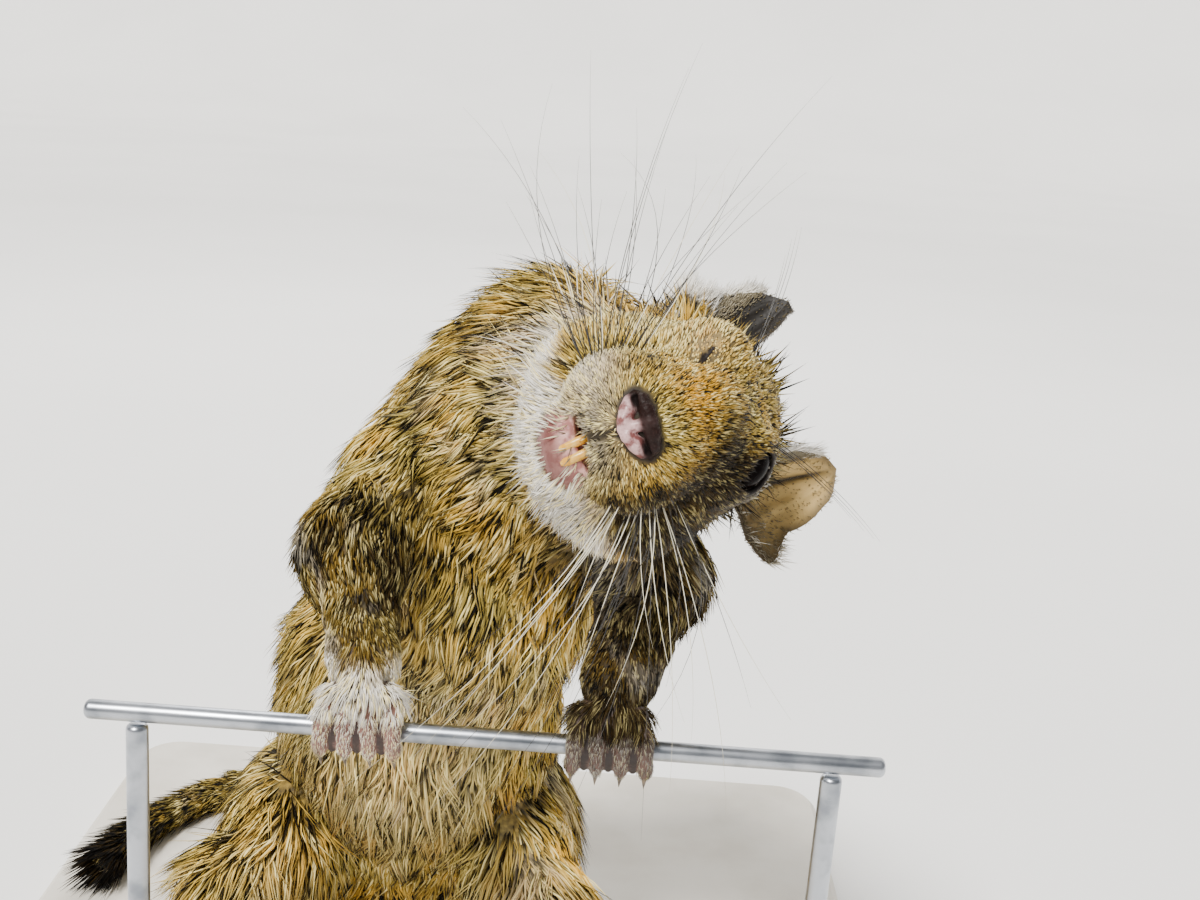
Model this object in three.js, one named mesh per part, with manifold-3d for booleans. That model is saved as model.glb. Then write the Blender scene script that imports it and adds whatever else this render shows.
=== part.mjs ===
// A life-size degu that stands on its hind feet, leans its chest towards a level bar, holds the bar with
// both hands and tips its head on one side. A flat base and two rods carry the bar.
// Millimetres. X is the viewer's right, Y points away from the viewer, Z is up.
// The origin is the middle of the base's underside.

import * as THREE from "three";
import { mergeVertices } from "three/addons/utils/BufferGeometryUtils.js";
import Module from "manifold-3d";

const wasm = await Module();
wasm.setup();

// Shared sizes
const GAP = 0.3;
const RIGHT = -1;
const LEFT = 1;

// The stand. The bar's middle is the zero of the animal's own places in X and Y.
const BASE = { width: 156, depth: 172, height: 8, corner: 9, edge: 1.2 };
const BAR = { x: 10, y: -46, z: 80, length: 108, diameter: 2.7 };
const ROD = { x: 47, diameter: 3 };
const GROUND = BASE.height + GAP;

// The head's own frame: X to the nose, Y to the animal's left, Z to the crown, 0 at the nape end.
const HEAD_AHEAD = [-0.0897, -0.9638, 0.2513];
const HEAD_CROWN = [0.943, -0.004, 0.321];
const NOSE_TIP = { place: [16.8, -22.7, 130.5], reach: 46 };

const SKULL = { at: [14, 0, 3.5], size: [19, 14.5, 14.5] };
const BROW = { at: [27, 0, 6], size: [12.5, 9, 7.5] };
const ORBIT = { at: [24.5, 6.6, 8.2], size: [7.5, 5.6, 5.8] };
const MUZZLE = { at: [33.5, 0, 0], size: [12, 9.4, 8.8] };
const MUZZLE_END = { at: [40.6, 0, -0.8], size: [5.2, 6.6, 6] };
const CHEEK = { at: [19, 8.5, -4], size: [13, 8.6, 10.5] };
const WHISKER_PAD = { at: [37, 4.8, -3.2], size: [6.6, 4.6, 4.8] };
const CHIN = { at: [31.5, 0, -9.8], size: [9.5, 5.8, 4.4] };
const THROAT = { at: [14, 0, -11], size: [15, 12, 8.5] };

const EYE = { at: [26, 6.1, 9.5], radius: 4.1, lid: 0.6, facing: [0.5, 0.66, 0.56], tilt: 0.35 };
const LEFT_OPENING = { length: 3.6, height: 3 };
const RIGHT_OPENING = { length: 3.3, height: 0.4 };

const NOSE_PAD = { at: [44.5, 0, -0.1], size: [2.5, 4.1, 2.3] };
const NOSTRIL = { at: [46.3, 2.7, 0.2], size: [1.5, 1.1, 0.5] };
const PHILTRUM = { from: [46.6, 0, -1.8], to: [43.8, 0, -6.2], radius: 0.45 };

const MOUTH = { hinge: [33.5, 0, -6], upper: [45, 0, -4.4], lower: [45, 0, -8.4], width: 7.4 };
const INCISOR = {
  root: [38.6, 0.8, -3.6], tip: [41.2, 0.8, -10.2], width: 1.2, depth: 1.0, bow: 1.1, lean: 1.2,
};
const TONGUE = { at: [35.6, 0, -6.4], size: [6, 2.9, 1.15] };

// The ears, as cupped leaves. Up runs from root to tip, open is the way the cup faces.
const EAR = { height: 18.5, width: 13.5, cup: 4, thickness: 1.3, sunk: 0.1, sides: 22, rings: 15 };
const EAR_LEFT = { root: [9, 13, 9.4], up: [-0.58, -0.11, 0.8], open: [0.78, 0.08, 0.56] };
const EAR_RIGHT = { root: [9, -10.8, 9.2], up: [-0.62, -0.16, 0.77], open: [0.62, -0.68, 0.38] };
// Shares of half an ear's width at shares of its height: a plain front edge, and a lobe and notch behind.
const EAR_FRONT = [
  [0, 0.3], [0.2, 0.66], [0.4, 0.8], [0.55, 0.76], [0.71, 0.6], [0.82, 0.46], [0.93, 0.3], [1, 0],
];
const EAR_REAR = [
  [0, 0.6], [0.1, 1.16], [0.2, 1.24], [0.29, 1.02], [0.37, 0.84], [0.46, 0.84], [0.6, 0.8], [0.75, 0.66],
  [0.9, 0.44], [1, 0],
];

// The whiskers: rows on each side of the muzzle, longest at the back.
const WHISKER = { perSide: 7, columns: 3, longest: 50, shortest: 34, radius: 0.32, point: 0.04 };
// Its first root with the way to its last one, and how far it points up, ahead and bends there.
const WHISKER_ROOT = { first: [36.5, 4.6, -3.4], back: -3, out: 1, up: 4.2 };
const WHISKER_WAY = { lift: [-0.55, 0.75], ahead: [0.16, -0.14], backBend: -0.12, upBend: [0.14, -0.06] };

// The trunk
const RUMP = { at: [-17, 66, 37], size: [27, 24, 26] };
const BELLY = { at: [-15, 53, 62], size: [26.5, 25, 31] };
const RIBS = { at: [-5, 42, 92], size: [22, 23.5, 30] };
const SHOULDERS = { at: [0, 37, 109], size: [21, 20, 20] };
const WITHERS = { at: [5, 42, 121], size: [16, 16, 19] };
const NAPE = { from: [2, 38, 113], to: [19, 22, 121], radii: [18, 16.5] };
const TRUNK_SOFTNESS = 10;
const HEAD_SOFTNESS = 4;

// The limbs, drawn for the left side and mirrored for the right. X counts from the middle named here.
const ARM_MIDDLE = 0;
const SHOULDER = [16, 33, 107];
const ELBOW = [21.5, 17.5, 99];
const WRIST = [17.4, 4.4, 88];
const KNUCKLES = [16.8, -0.6, 84.8];
const ARM = { shoulder: 10.8, elbow: 8.2, wrist: 5.4, hand: 4.1 };
const FINGERS = { count: 4, spread: 2.5, fan: 0.28, radius: 1.15, tip: 0.75, curl: 2 };
const LEG_MIDDLE = -17;
const HIP = [19, 60, 38];
const KNEE = [25, 35, 33];
const HEEL = [22, 66, 15];
const THIGH = { at: [19, 52, 34], size: [11.5, 22, 18] };
const LEG = { hip: 11, knee: 9.5, heel: 5.6 };
const FOOT = { sole: 24, width: 9, height: 6.4, turnOut: 0.16 };
const TOES = { count: 4, spread: 2.5, radius: 1.7, tip: 1.1, length: 12 };
const CLAW = { length: 3.2, radius: 0.7, sink: 1.2 };

// The tail leaves the rump, lies down on the base and ends in a brush.
const TAIL_PATH = [
  [-17, 84, 24], [-18, 96, 17], [-23, 105, 13.2], [-35, 111, 12], [-50, 110, 11.6], [-64, 102, 11.4],
  [-73, 89, 11.4], [-77, 75, 12],
];
const TAIL = { rootRadius: 5.4, endRadius: 2.5, lengths: 4, sides: 10 };
const BRUSH = { locks: 11, length: 19, width: 3.2, thickness: 1.2, spread: 0.42, core: 0.55, seed: 7 };
const GOLDEN_ANGLE = Math.PI * (3 - Math.sqrt(5));

const vector = (place) => new THREE.Vector3(...place);
const sideOf = (place, side) => [place[0], side * place[1], place[2]];
const armSide = (place, side) => [ARM_MIDDLE + side * place[0], place[1], place[2]];
const legSide = (place, side) => [LEG_MIDDLE + side * place[0], place[1], place[2]];

const headFrame = makeHeadFrame();
const trunkFrame = new THREE.Matrix4();

function makeHeadFrame() {
  const ahead = vector(HEAD_AHEAD).normalize();
  const crown = vector(HEAD_CROWN).addScaledVector(ahead, -ahead.dot(vector(HEAD_CROWN))).normalize();
  const left = new THREE.Vector3().crossVectors(crown, ahead);
  const nape = vector(NOSE_TIP.place).addScaledVector(ahead, -NOSE_TIP.reach);
  return new THREE.Matrix4().makeBasis(ahead, left, crown).setPosition(nape);
}

// Soft forms. Each gives a rough distance from a point to its surface, below zero inside.
function lump({ at, size }, frame = trunkFrame) {
  const back = frame.clone().invert();
  const local = new THREE.Vector3();
  const centre = vector(at);
  const [a, b, c] = size;
  return (point) => {
    local.copy(point).applyMatrix4(back).sub(centre);
    const near = Math.hypot(local.x / a, local.y / b, local.z / c);
    const slope = Math.hypot(local.x / a / a, local.y / b / b, local.z / c / c);
    return near < 1e-6 ? -Math.min(a, b, c) : (near * (near - 1)) / slope;
  };
}

function bone(from, to, startRadius, endRadius) {
  const start = vector(from);
  const along = vector(to).sub(start);
  const lengthSquared = along.lengthSq();
  const local = new THREE.Vector3();
  return (point) => {
    local.copy(point).sub(start);
    const part = THREE.MathUtils.clamp(local.dot(along) / lengthSquared, 0, 1);
    local.addScaledVector(along, -part);
    return local.length() - THREE.MathUtils.lerp(startRadius, endRadius, part);
  };
}

function melted(forms, softness) {
  return (point) => {
    let nearest = forms[0](point);
    for (let index = 1; index < forms.length; index += 1) {
      const other = forms[index](point);
      const overlap = Math.max(softness - Math.abs(nearest - other), 0) / softness;
      nearest = Math.min(nearest, other) - (overlap * overlap * softness) / 4;
    }
    return nearest;
  };
}

// Skins a soft form with a capsule: each of its points moves out along its own ray to the form's surface.
function wrapped(form, from, to, { sides, steps, capSteps, reach = 60, grow = 0 }) {
  const axis = to.clone().sub(from);
  const length = axis.length();
  const geometry = new THREE.CapsuleGeometry(1, length, capSteps, sides, steps);
  const turn = new THREE.Quaternion().setFromUnitVectors(new THREE.Vector3(0, 1, 0), axis.normalize());
  const middle = from.clone().add(to).multiplyScalar(0.5);
  const positions = geometry.getAttribute("position");
  const ray = new THREE.Vector3();
  const start = new THREE.Vector3();
  const point = new THREE.Vector3();
  for (let index = 0; index < positions.count; index += 1) {
    ray.fromBufferAttribute(positions, index);
    start.set(0, THREE.MathUtils.clamp(ray.y, -length / 2, length / 2), 0);
    ray.sub(start).normalize().applyQuaternion(turn);
    start.applyQuaternion(turn).add(middle);
    const distance = surfaceDistance(form, start, ray, reach, grow);
    point.copy(start).addScaledVector(ray, distance);
    positions.setXYZ(index, point.x, point.y, point.z);
  }
  return solid(geometry);
}

function surfaceDistance(form, start, ray, reach, grow) {
  const point = new THREE.Vector3();
  const valueAt = (distance) => form(point.copy(start).addScaledVector(ray, distance)) - grow;
  let inner = 0.2;
  let outer = inner;
  while (outer < reach && valueAt(outer) < 0) {
    inner = outer;
    outer += 1;
  }
  for (let halving = 0; halving < 14; halving += 1) {
    const middle = (inner + outer) / 2;
    if (valueAt(middle) < 0) {
      inner = middle;
    } else {
      outer = middle;
    }
  }
  return (inner + outer) / 2;
}

// A round or flattened rod along a curve. Its radius at each part of the way comes from a function.
function tapered(points, radiusAt, settings = {}) {
  return taperedAlong(new THREE.CatmullRomCurve3(points.map(vector)), radiusAt, settings);
}

function taperedAlong(curve, radiusAt, settings) {
  const { sides = 8, steps = 10, flatness = 1, flatFacing = null, first = 0, last = 1 } = settings;
  const geometry = new THREE.CylinderGeometry(1, 1, 1, sides, steps);
  const positions = geometry.getAttribute("position");
  const facing = flatFacing ? vector(flatFacing) : awayFrom(curve.getTangentAt(0.5));
  const local = new THREE.Vector3();
  for (let index = 0; index < positions.count; index += 1) {
    local.fromBufferAttribute(positions, index);
    const part = THREE.MathUtils.lerp(first, last, 0.5 - local.y);
    const ahead = curve.getTangentAt(part);
    const across = new THREE.Vector3().crossVectors(ahead, facing).normalize();
    const outward = new THREE.Vector3().crossVectors(across, ahead).normalize();
    const radius = radiusAt(part);
    const place = curve.getPointAt(part);
    place.addScaledVector(across, local.x * radius);
    place.addScaledVector(outward, -local.z * radius * flatness);
    positions.setXYZ(index, place.x, place.y, place.z);
  }
  return solid(geometry);
}

function awayFrom(direction) {
  const helper = Math.abs(direction.z) < 0.8 ? [0, 0, 1] : [0, 1, 0];
  return vector(helper).addScaledVector(direction, -direction.dot(vector(helper))).normalize();
}

// Joining and cutting
function solid(geometry) {
  const loose = geometry.index ? geometry.toNonIndexed() : geometry;
  const bare = new THREE.BufferGeometry().setAttribute("position", loose.getAttribute("position"));
  const merged = mergeVertices(bare, 1e-4);
  const corners = merged.index.array;
  const kept = [];
  for (let first = 0; first < corners.length; first += 3) {
    const [a, b, c] = corners.slice(first, first + 3);
    if (a !== b && b !== c && c !== a) {
      kept.push(a, b, c);
    }
  }
  const vertProperties = new Float32Array(merged.getAttribute("position").array);
  const mesh = new wasm.Mesh({ numProp: 3, vertProperties, triVerts: new Uint32Array(kept) });
  return new wasm.Manifold(mesh);
}

function biggest(form) {
  const bodies = form.decompose();
  bodies.sort((one, other) => other.volume() - one.volume());
  return bodies[0];
}

// The part of a form on the side that the normal points to, half a gap clear of the plane.
const BLOCK_SIZE = 300;
function beyond(form, place, normal) {
  return form.intersect(block(place, normal, GAP / 2));
}

function block(place, normal, clearance) {
  const ahead = vector(normal).normalize();
  const geometry = new THREE.BoxGeometry(BLOCK_SIZE, BLOCK_SIZE, BLOCK_SIZE);
  geometry.applyQuaternion(new THREE.Quaternion().setFromUnitVectors(new THREE.Vector3(0, 0, 1), ahead));
  const centre = vector(place).addScaledVector(ahead, BLOCK_SIZE / 2 + clearance);
  geometry.translate(centre.x, centre.y, centre.z);
  return solid(geometry);
}

const opposite = (direction) => direction.map((value) => -value);

function ellipsoid({ at, size }, frame = trunkFrame, { sides = 20, rings = 14, grow = 0 } = {}) {
  const geometry = new THREE.SphereGeometry(1, sides, rings);
  geometry.scale(size[0] + grow, size[1] + grow, size[2] + grow);
  geometry.translate(...at);
  geometry.applyMatrix4(frame);
  return solid(geometry);
}

const headPoint = (place) => vector(place).applyMatrix4(headFrame);
const headWay = (direction) => vector(direction).transformDirection(headFrame).toArray();

// The whole body as soft forms
function headForms() {
  const forms = [SKULL, BROW, MUZZLE, MUZZLE_END, CHIN, THROAT].map((part) => lump(part, headFrame));
  for (const side of [RIGHT, LEFT]) {
    for (const part of [CHEEK, WHISKER_PAD, ORBIT]) {
      forms.push(lump({ at: sideOf(part.at, side), size: part.size }, headFrame));
    }
  }
  return forms;
}

const trunkForm = melted([RUMP, BELLY, RIBS, SHOULDERS, WITHERS].map((part) => lump(part)), TRUNK_SOFTNESS);
const headForm = melted(headForms(), HEAD_SOFTNESS);
const napeForm = bone(NAPE.from, NAPE.to, ...NAPE.radii);
const bodyForm = melted([melted([trunkForm, napeForm], TRUNK_SOFTNESS), headForm], HEAD_SOFTNESS * 2);

// Where the thin cuts part the body
const CUTS = {
  waist: { at: [-14, 54, 50], up: [0.1, -0.1, 1] },
  ribs: { at: [-6, 42, 82], up: [0.2, -0.25, 1] },
  neck: { at: [6, 31, 116], up: [0.72, -0.55, 0.42] },
  nape: { at: headPoint([7, 0, 0]).toArray(), up: headWay([1, 0, 0.1]) },
};

const HIP_CORE = vector([-16, 63, 40]);
const SHOULDER_CORE = vector([2, 38, 110]);
const TRUNK_SHAPE = { sides: 26, steps: 15, capSteps: 6 };

function makeTrunk() {
  const trunk = wrapped(bodyForm, HIP_CORE, SHOULDER_CORE, TRUNK_SHAPE);
  const aboveWaist = beyond(trunk, CUTS.waist.at, CUTS.waist.up);
  const aboveRibs = beyond(aboveWaist, CUTS.ribs.at, CUTS.ribs.up);
  return {
    rump: beyond(trunk, CUTS.waist.at, opposite(CUTS.waist.up)),
    abdomen: beyond(aboveWaist, CUTS.ribs.at, opposite(CUTS.ribs.up)),
    chest: beyond(aboveRibs, CUTS.neck.at, opposite(CUTS.neck.up)),
  };
}

const NECK_CORE = [vector([3, 37, 113]), headPoint([14, 0, 0])];
const NECK_SHAPE = { sides: 26, steps: 8, capSteps: 3, reach: 34 };

function makeNeck() {
  const core = wrapped(bodyForm, ...NECK_CORE, NECK_SHAPE);
  const pastChest = beyond(core, CUTS.neck.at, CUTS.neck.up);
  return beyond(pastChest, CUTS.nape.at, opposite(CUTS.nape.up));
}

// The head
const lidOpening = (side) => (side === LEFT ? LEFT_OPENING : RIGHT_OPENING);

function eyeFrame(side) {
  const outward = vector(sideOf(EYE.facing, side)).normalize();
  const alongLids = vector([1, 0, -EYE.tilt]);
  const ahead = alongLids.addScaledVector(outward, -outward.dot(alongLids)).normalize();
  const over = new THREE.Vector3().crossVectors(outward, ahead);
  const local = new THREE.Matrix4().makeBasis(ahead, over, outward);
  return headFrame.clone().multiply(local.setPosition(vector(sideOf(EYE.at, side))));
}

function makeEye(side, grow = 0) {
  const size = [EYE.radius, EYE.radius, EYE.radius];
  return ellipsoid({ at: [0, 0, 0], size }, eyeFrame(side), { sides: 14, rings: 10, grow });
}

function makeLid(side) {
  const size = Array(3).fill(EYE.radius + EYE.lid);
  return ellipsoid({ at: [0, 0, 0], size }, eyeFrame(side), { sides: 16, rings: 12 });
}

function lidSlit(side) {
  const { length, height } = lidOpening(side);
  const at = [0, 0, EYE.radius + EYE.lid];
  return ellipsoid({ at, size: [length, height, 3.2] }, eyeFrame(side), { sides: 12, rings: 8 });
}

function makeNosePad(grow = 0) {
  return ellipsoid(NOSE_PAD, headFrame, { sides: 14, rings: 10, grow });
}

function makeIncisor(side, grow = 0) {
  const root = sideOf(INCISOR.root, side);
  const tip = sideOf(INCISOR.tip, side);
  tip[1] += INCISOR.lean;
  const middle = root.map((value, index) => (value + tip[index]) / 2);
  middle[0] += INCISOR.bow;
  const points = [root, middle, tip].map((place) => headPoint(place).toArray());
  const radiusAt = (part) => INCISOR.width / 2 + grow - (part > 0.95 ? 0.15 : 0);
  const flatness = (INCISOR.depth / 2 + grow) / (INCISOR.width / 2 + grow);
  return tapered(points, radiusAt, { sides: 8, steps: 6, flatness, flatFacing: headWay([1, 0, 0]) });
}

// The open mouth: a wedge from the hinge line to the front of the lips.
function mouthWedge() {
  const outline = new THREE.Shape();
  outline.moveTo(MOUTH.hinge[0], MOUTH.hinge[2]);
  outline.lineTo(MOUTH.lower[0], MOUTH.lower[2]);
  outline.lineTo(MOUTH.upper[0] + 6, MOUTH.lower[2] - 1);
  outline.lineTo(MOUTH.upper[0] + 6, MOUTH.upper[2] + 0.4);
  outline.lineTo(MOUTH.upper[0], MOUTH.upper[2]);
  const geometry = new THREE.ExtrudeGeometry(outline, { depth: MOUTH.width, bevelEnabled: false });
  geometry.translate(0, 0, -MOUTH.width / 2);
  geometry.rotateX(Math.PI / 2);
  geometry.applyMatrix4(headFrame);
  return solid(geometry);
}

function makeWhiskers(side) {
  const { lerp } = THREE.MathUtils;
  const [x, y, z] = WHISKER_ROOT.first;
  const whiskers = [];
  for (let index = 0; index < WHISKER.perSide; index += 1) {
    const high = index / (WHISKER.perSide - 1);
    const back = (index % WHISKER.columns) / (WHISKER.columns - 1);
    const root = vector([
      x + WHISKER_ROOT.back * back, side * (y + WHISKER_ROOT.out * back), z + WHISKER_ROOT.up * high,
    ]);
    const length = lerp(WHISKER.shortest, WHISKER.longest, 0.2 + 0.8 * Math.sin(Math.PI * high));
    const way = vector([lerp(...WHISKER_WAY.ahead, back), side, lerp(...WHISKER_WAY.lift, high)]).normalize();
    const bend = vector([WHISKER_WAY.backBend, 0, lerp(...WHISKER_WAY.upBend, high)]);
    const points = [0, 0.5, 1].map((part) => {
      const point = root.clone().addScaledVector(way, part * length);
      return point.addScaledVector(bend, part * part * length).applyMatrix4(headFrame).toArray();
    });
    const radiusAt = (part) => Math.max(WHISKER.radius * (1 - part), WHISKER.point);
    whiskers.push(tapered(points, radiusAt, { sides: 3, steps: 2 }));
  }
  return whiskers;
}

const HEAD_CORE = [headPoint([8, 0, 1]), headPoint([37, 0, -1])];
const HEAD_SHAPE = { sides: 34, steps: 13, capSteps: 7, reach: 26 };
const JAW_CUT = { at: [24, 0, -7.4], mouthUp: [0.1, 0, 1], backAhead: [1, 0, -0.35] };

function makeHead() {
  const whole = wrapped(bodyForm, ...HEAD_CORE, HEAD_SHAPE);
  let head = beyond(whole, CUTS.nape.at, CUTS.nape.up);
  const jawTop = headPoint(JAW_CUT.at).toArray();
  const above = headWay(JAW_CUT.mouthUp);
  const ahead = headWay(JAW_CUT.backAhead);
  let jaw = beyond(beyond(head, jawTop, opposite(above)), jawTop, ahead);
  const jawRoom = block(jawTop, opposite(above), -GAP / 2).intersect(block(jawTop, ahead, -GAP / 2));
  head = head.subtract(jawRoom);
  const wedge = mouthWedge();
  jaw = jaw.subtract(wedge);
  head = head.subtract(wedge);
  for (const side of [RIGHT, LEFT]) {
    head = head.add(makeLid(side)).subtract(makeEye(side, GAP)).subtract(lidSlit(side));
    head = head.subtract(makeIncisor(side, GAP));
    jaw = jaw.subtract(makeIncisor(side, GAP));
  }
  head = head.subtract(makeNosePad(GAP));
  const groove = tapered([PHILTRUM.from, PHILTRUM.to].map((place) => headPoint(place).toArray()),
    () => PHILTRUM.radius, { sides: 6, steps: 1 });
  head = head.subtract(groove);
  for (const side of [RIGHT, LEFT]) {
    for (const whisker of makeWhiskers(side)) {
      head = head.add(whisker);
    }
  }
  const tongueRoom = ellipsoid(TONGUE, headFrame, { sides: 12, rings: 8, grow: GAP });
  return { head: biggest(head.subtract(tongueRoom)), jaw: biggest(jaw.subtract(tongueRoom)) };
}

function makeTongue() {
  const tongue = ellipsoid(TONGUE, headFrame, { sides: 12, rings: 8 });
  return biggest(tongue.subtract(makeIncisor(LEFT, GAP)).subtract(makeIncisor(RIGHT, GAP)));
}

function headRoom() {
  return wrapped(bodyForm, ...HEAD_CORE, { ...HEAD_SHAPE, grow: GAP });
}

function makeNose() {
  let pad = makeNosePad();
  for (const side of [RIGHT, LEFT]) {
    pad = pad.subtract(ellipsoid({ at: sideOf(NOSTRIL.at, side), size: NOSTRIL.size }, headFrame, {
      sides: 8, rings: 6,
    }));
  }
  return biggest(pad);
}

// Half the ear's width at a share of its height, between the two rows of its edge that lie round it.
function earHalfWidth(rise, rear) {
  const rows = rear ? EAR_REAR : EAR_FRONT;
  const next = Math.max(1, rows.findIndex(([height]) => height >= rise));
  const [low, lowShare] = rows[next - 1];
  const [high, highShare] = rows[next];
  return (EAR.width / 2) * THREE.MathUtils.mapLinear(rise, low, high, lowShare, highShare);
}

// An ear is a sphere pressed into a leaf, then cupped.
function makeEar({ root, up, open }, side) {
  const tall = vector(up).normalize();
  const facing = vector(open).addScaledVector(tall, -tall.dot(vector(open))).normalize();
  const wide = new THREE.Vector3().crossVectors(tall, facing);
  const place = headFrame.clone().multiply(
    new THREE.Matrix4().makeBasis(wide, tall, facing).setPosition(vector(root)),
  );
  const geometry = new THREE.SphereGeometry(1, EAR.sides, EAR.rings);
  geometry.rotateX(Math.PI / 2);
  const positions = geometry.getAttribute("position");
  for (let index = 0; index < positions.count; index += 1) {
    const point = new THREE.Vector3().fromBufferAttribute(positions, index);
    const out = Math.min(1, Math.hypot(point.x, point.y));
    const rise = Math.min(1, (point.y + 1) / 2);
    const chord = Math.sqrt(Math.max(1e-9, 1 - point.y * point.y));
    const x = (point.x / chord) * earHalfWidth(rise, point.x * side >= 0);
    const cup = -EAR.cup * (1 - out * out) * (1 - 0.35 * rise);
    const shell = (point.z >= 0 ? 1 : -1) * Math.sqrt(Math.abs(point.z)) * (EAR.thickness / 2);
    positions.setXYZ(index, x, (rise - EAR.sunk) * EAR.height, cup + shell);
  }
  geometry.applyMatrix4(place);
  return solid(geometry);
}

// Pieces that grow out of the body are cut clear of it by the gap.
function clearOf(form, rooms) {
  return biggest(rooms.reduce((left, room) => left.subtract(room), form));
}

function bodyRooms() {
  return [
    wrapped(bodyForm, HIP_CORE, SHOULDER_CORE, { ...TRUNK_SHAPE, grow: GAP }),
    wrapped(bodyForm, ...NECK_CORE, { ...NECK_SHAPE, grow: GAP }),
  ];
}

// Arms and hands
function makeArm(side, rooms) {
  const [shoulder, elbow, wrist, knuckles] = [SHOULDER, ELBOW, WRIST, KNUCKLES].map(
    (place) => armSide(place, side),
  );
  const form = melted([
    bone(shoulder, elbow, ARM.shoulder, ARM.elbow),
    bone(elbow, wrist, ARM.elbow, ARM.wrist),
    bone(wrist, knuckles, ARM.wrist, ARM.hand),
  ], 4);
  const elbowWay = vector(wrist).sub(vector(shoulder)).toArray();
  const wristWay = vector(knuckles).sub(vector(elbow)).toArray();
  const upper = wrapped(form, vector(shoulder), vector(elbow), { sides: 14, steps: 5, capSteps: 3 });
  const fore = wrapped(form, vector(elbow), vector(wrist), { sides: 14, steps: 6, capSteps: 3 });
  const palm = wrapped(form, vector(wrist), vector(knuckles), { sides: 12, steps: 3, capSteps: 3 });
  return {
    upper: clearOf(beyond(upper, elbow, opposite(elbowWay)), rooms),
    fore: clearOf(beyond(beyond(fore, elbow, elbowWay), wrist, opposite(wristWay)), rooms),
    hand: makeHand(side, clearOf(beyond(palm, wrist, wristWay), rooms)),
  };
}

// A finger leaves the knuckles, runs over the bar and bends down in front of it.
function fingerPath(side, index) {
  const across = (index - (FINGERS.count - 1) / 2) * FINGERS.spread;
  const [x, y, z] = armSide(KNUCKLES, side);
  const top = BAR.z + BAR.diameter / 2 + GAP + FINGERS.radius;
  const front = -BAR.diameter / 2 - GAP - FINGERS.radius;
  const fan = across * FINGERS.fan;
  return [
    [x + across, y + 1.5, z],
    [x + across + fan * 0.5, Math.max(y - 1.8, front + 1), top + 0.7],
    [x + across + fan, front - 0.9, BAR.z + 0.6],
    [x + across + fan * 1.1, front - 0.2, BAR.z - FINGERS.curl],
  ];
}

function clawAt(path, droop) {
  const tip = vector(path.at(-1));
  const way = tip.clone().sub(vector(path.at(-2))).normalize();
  const start = tip.clone().addScaledVector(way, -CLAW.sink);
  const middle = tip.clone().addScaledVector(way, CLAW.length * 0.45);
  const end = tip.clone().addScaledVector(way, CLAW.length).add(vector(droop));
  const radiusAt = (part) => Math.max(CLAW.radius * (1 - part ** 1.6), 0.08);
  return tapered([start, middle, end].map((point) => point.toArray()), radiusAt, { sides: 4, steps: 3 });
}

function makeHand(side, palm) {
  let hand = palm;
  for (let index = 0; index < FINGERS.count; index += 1) {
    const path = fingerPath(side, index);
    const radiusAt = (part) => THREE.MathUtils.lerp(FINGERS.radius, FINGERS.tip, part);
    hand = hand.add(tapered(path, radiusAt, { sides: 6, steps: 5 }));
    hand = hand.add(clawAt(path, [0, 0.8, 0]));
  }
  return biggest(hand.subtract(makeBar(GAP)));
}

// Legs and feet
function makeLeg(side, rooms) {
  const [hip, knee, heel] = [HIP, KNEE, HEEL].map((place) => legSide(place, side));
  const thighForm = melted([
    lump({ at: legSide(THIGH.at, side), size: THIGH.size }),
    bone(hip, knee, LEG.hip, LEG.knee),
  ], 6);
  const shankForm = bone(knee, heel, LEG.knee, LEG.heel);
  const thighShape = { sides: 18, steps: 4, capSteps: 5 };
  const shankShape = { sides: 12, steps: 5, capSteps: 3 };
  const thigh = wrapped(thighForm, vector(hip), vector(knee), thighShape);
  const thighRoom = wrapped(thighForm, vector(hip), vector(knee), { ...thighShape, grow: GAP });
  const shank = wrapped(shankForm, vector(knee), vector(heel), shankShape);
  const shankRoom = wrapped(shankForm, vector(knee), vector(heel), { ...shankShape, grow: GAP });
  const aboveBase = (form) => form.intersect(block([0, 0, GROUND], [0, 0, 1], 0));
  return {
    thigh: aboveBase(clearOf(thigh, rooms)),
    shank: aboveBase(clearOf(shank, [thighRoom, ...rooms])),
    foot: aboveBase(clearOf(makeFoot(side), [shankRoom, thighRoom, ...rooms])),
  };
}

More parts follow.
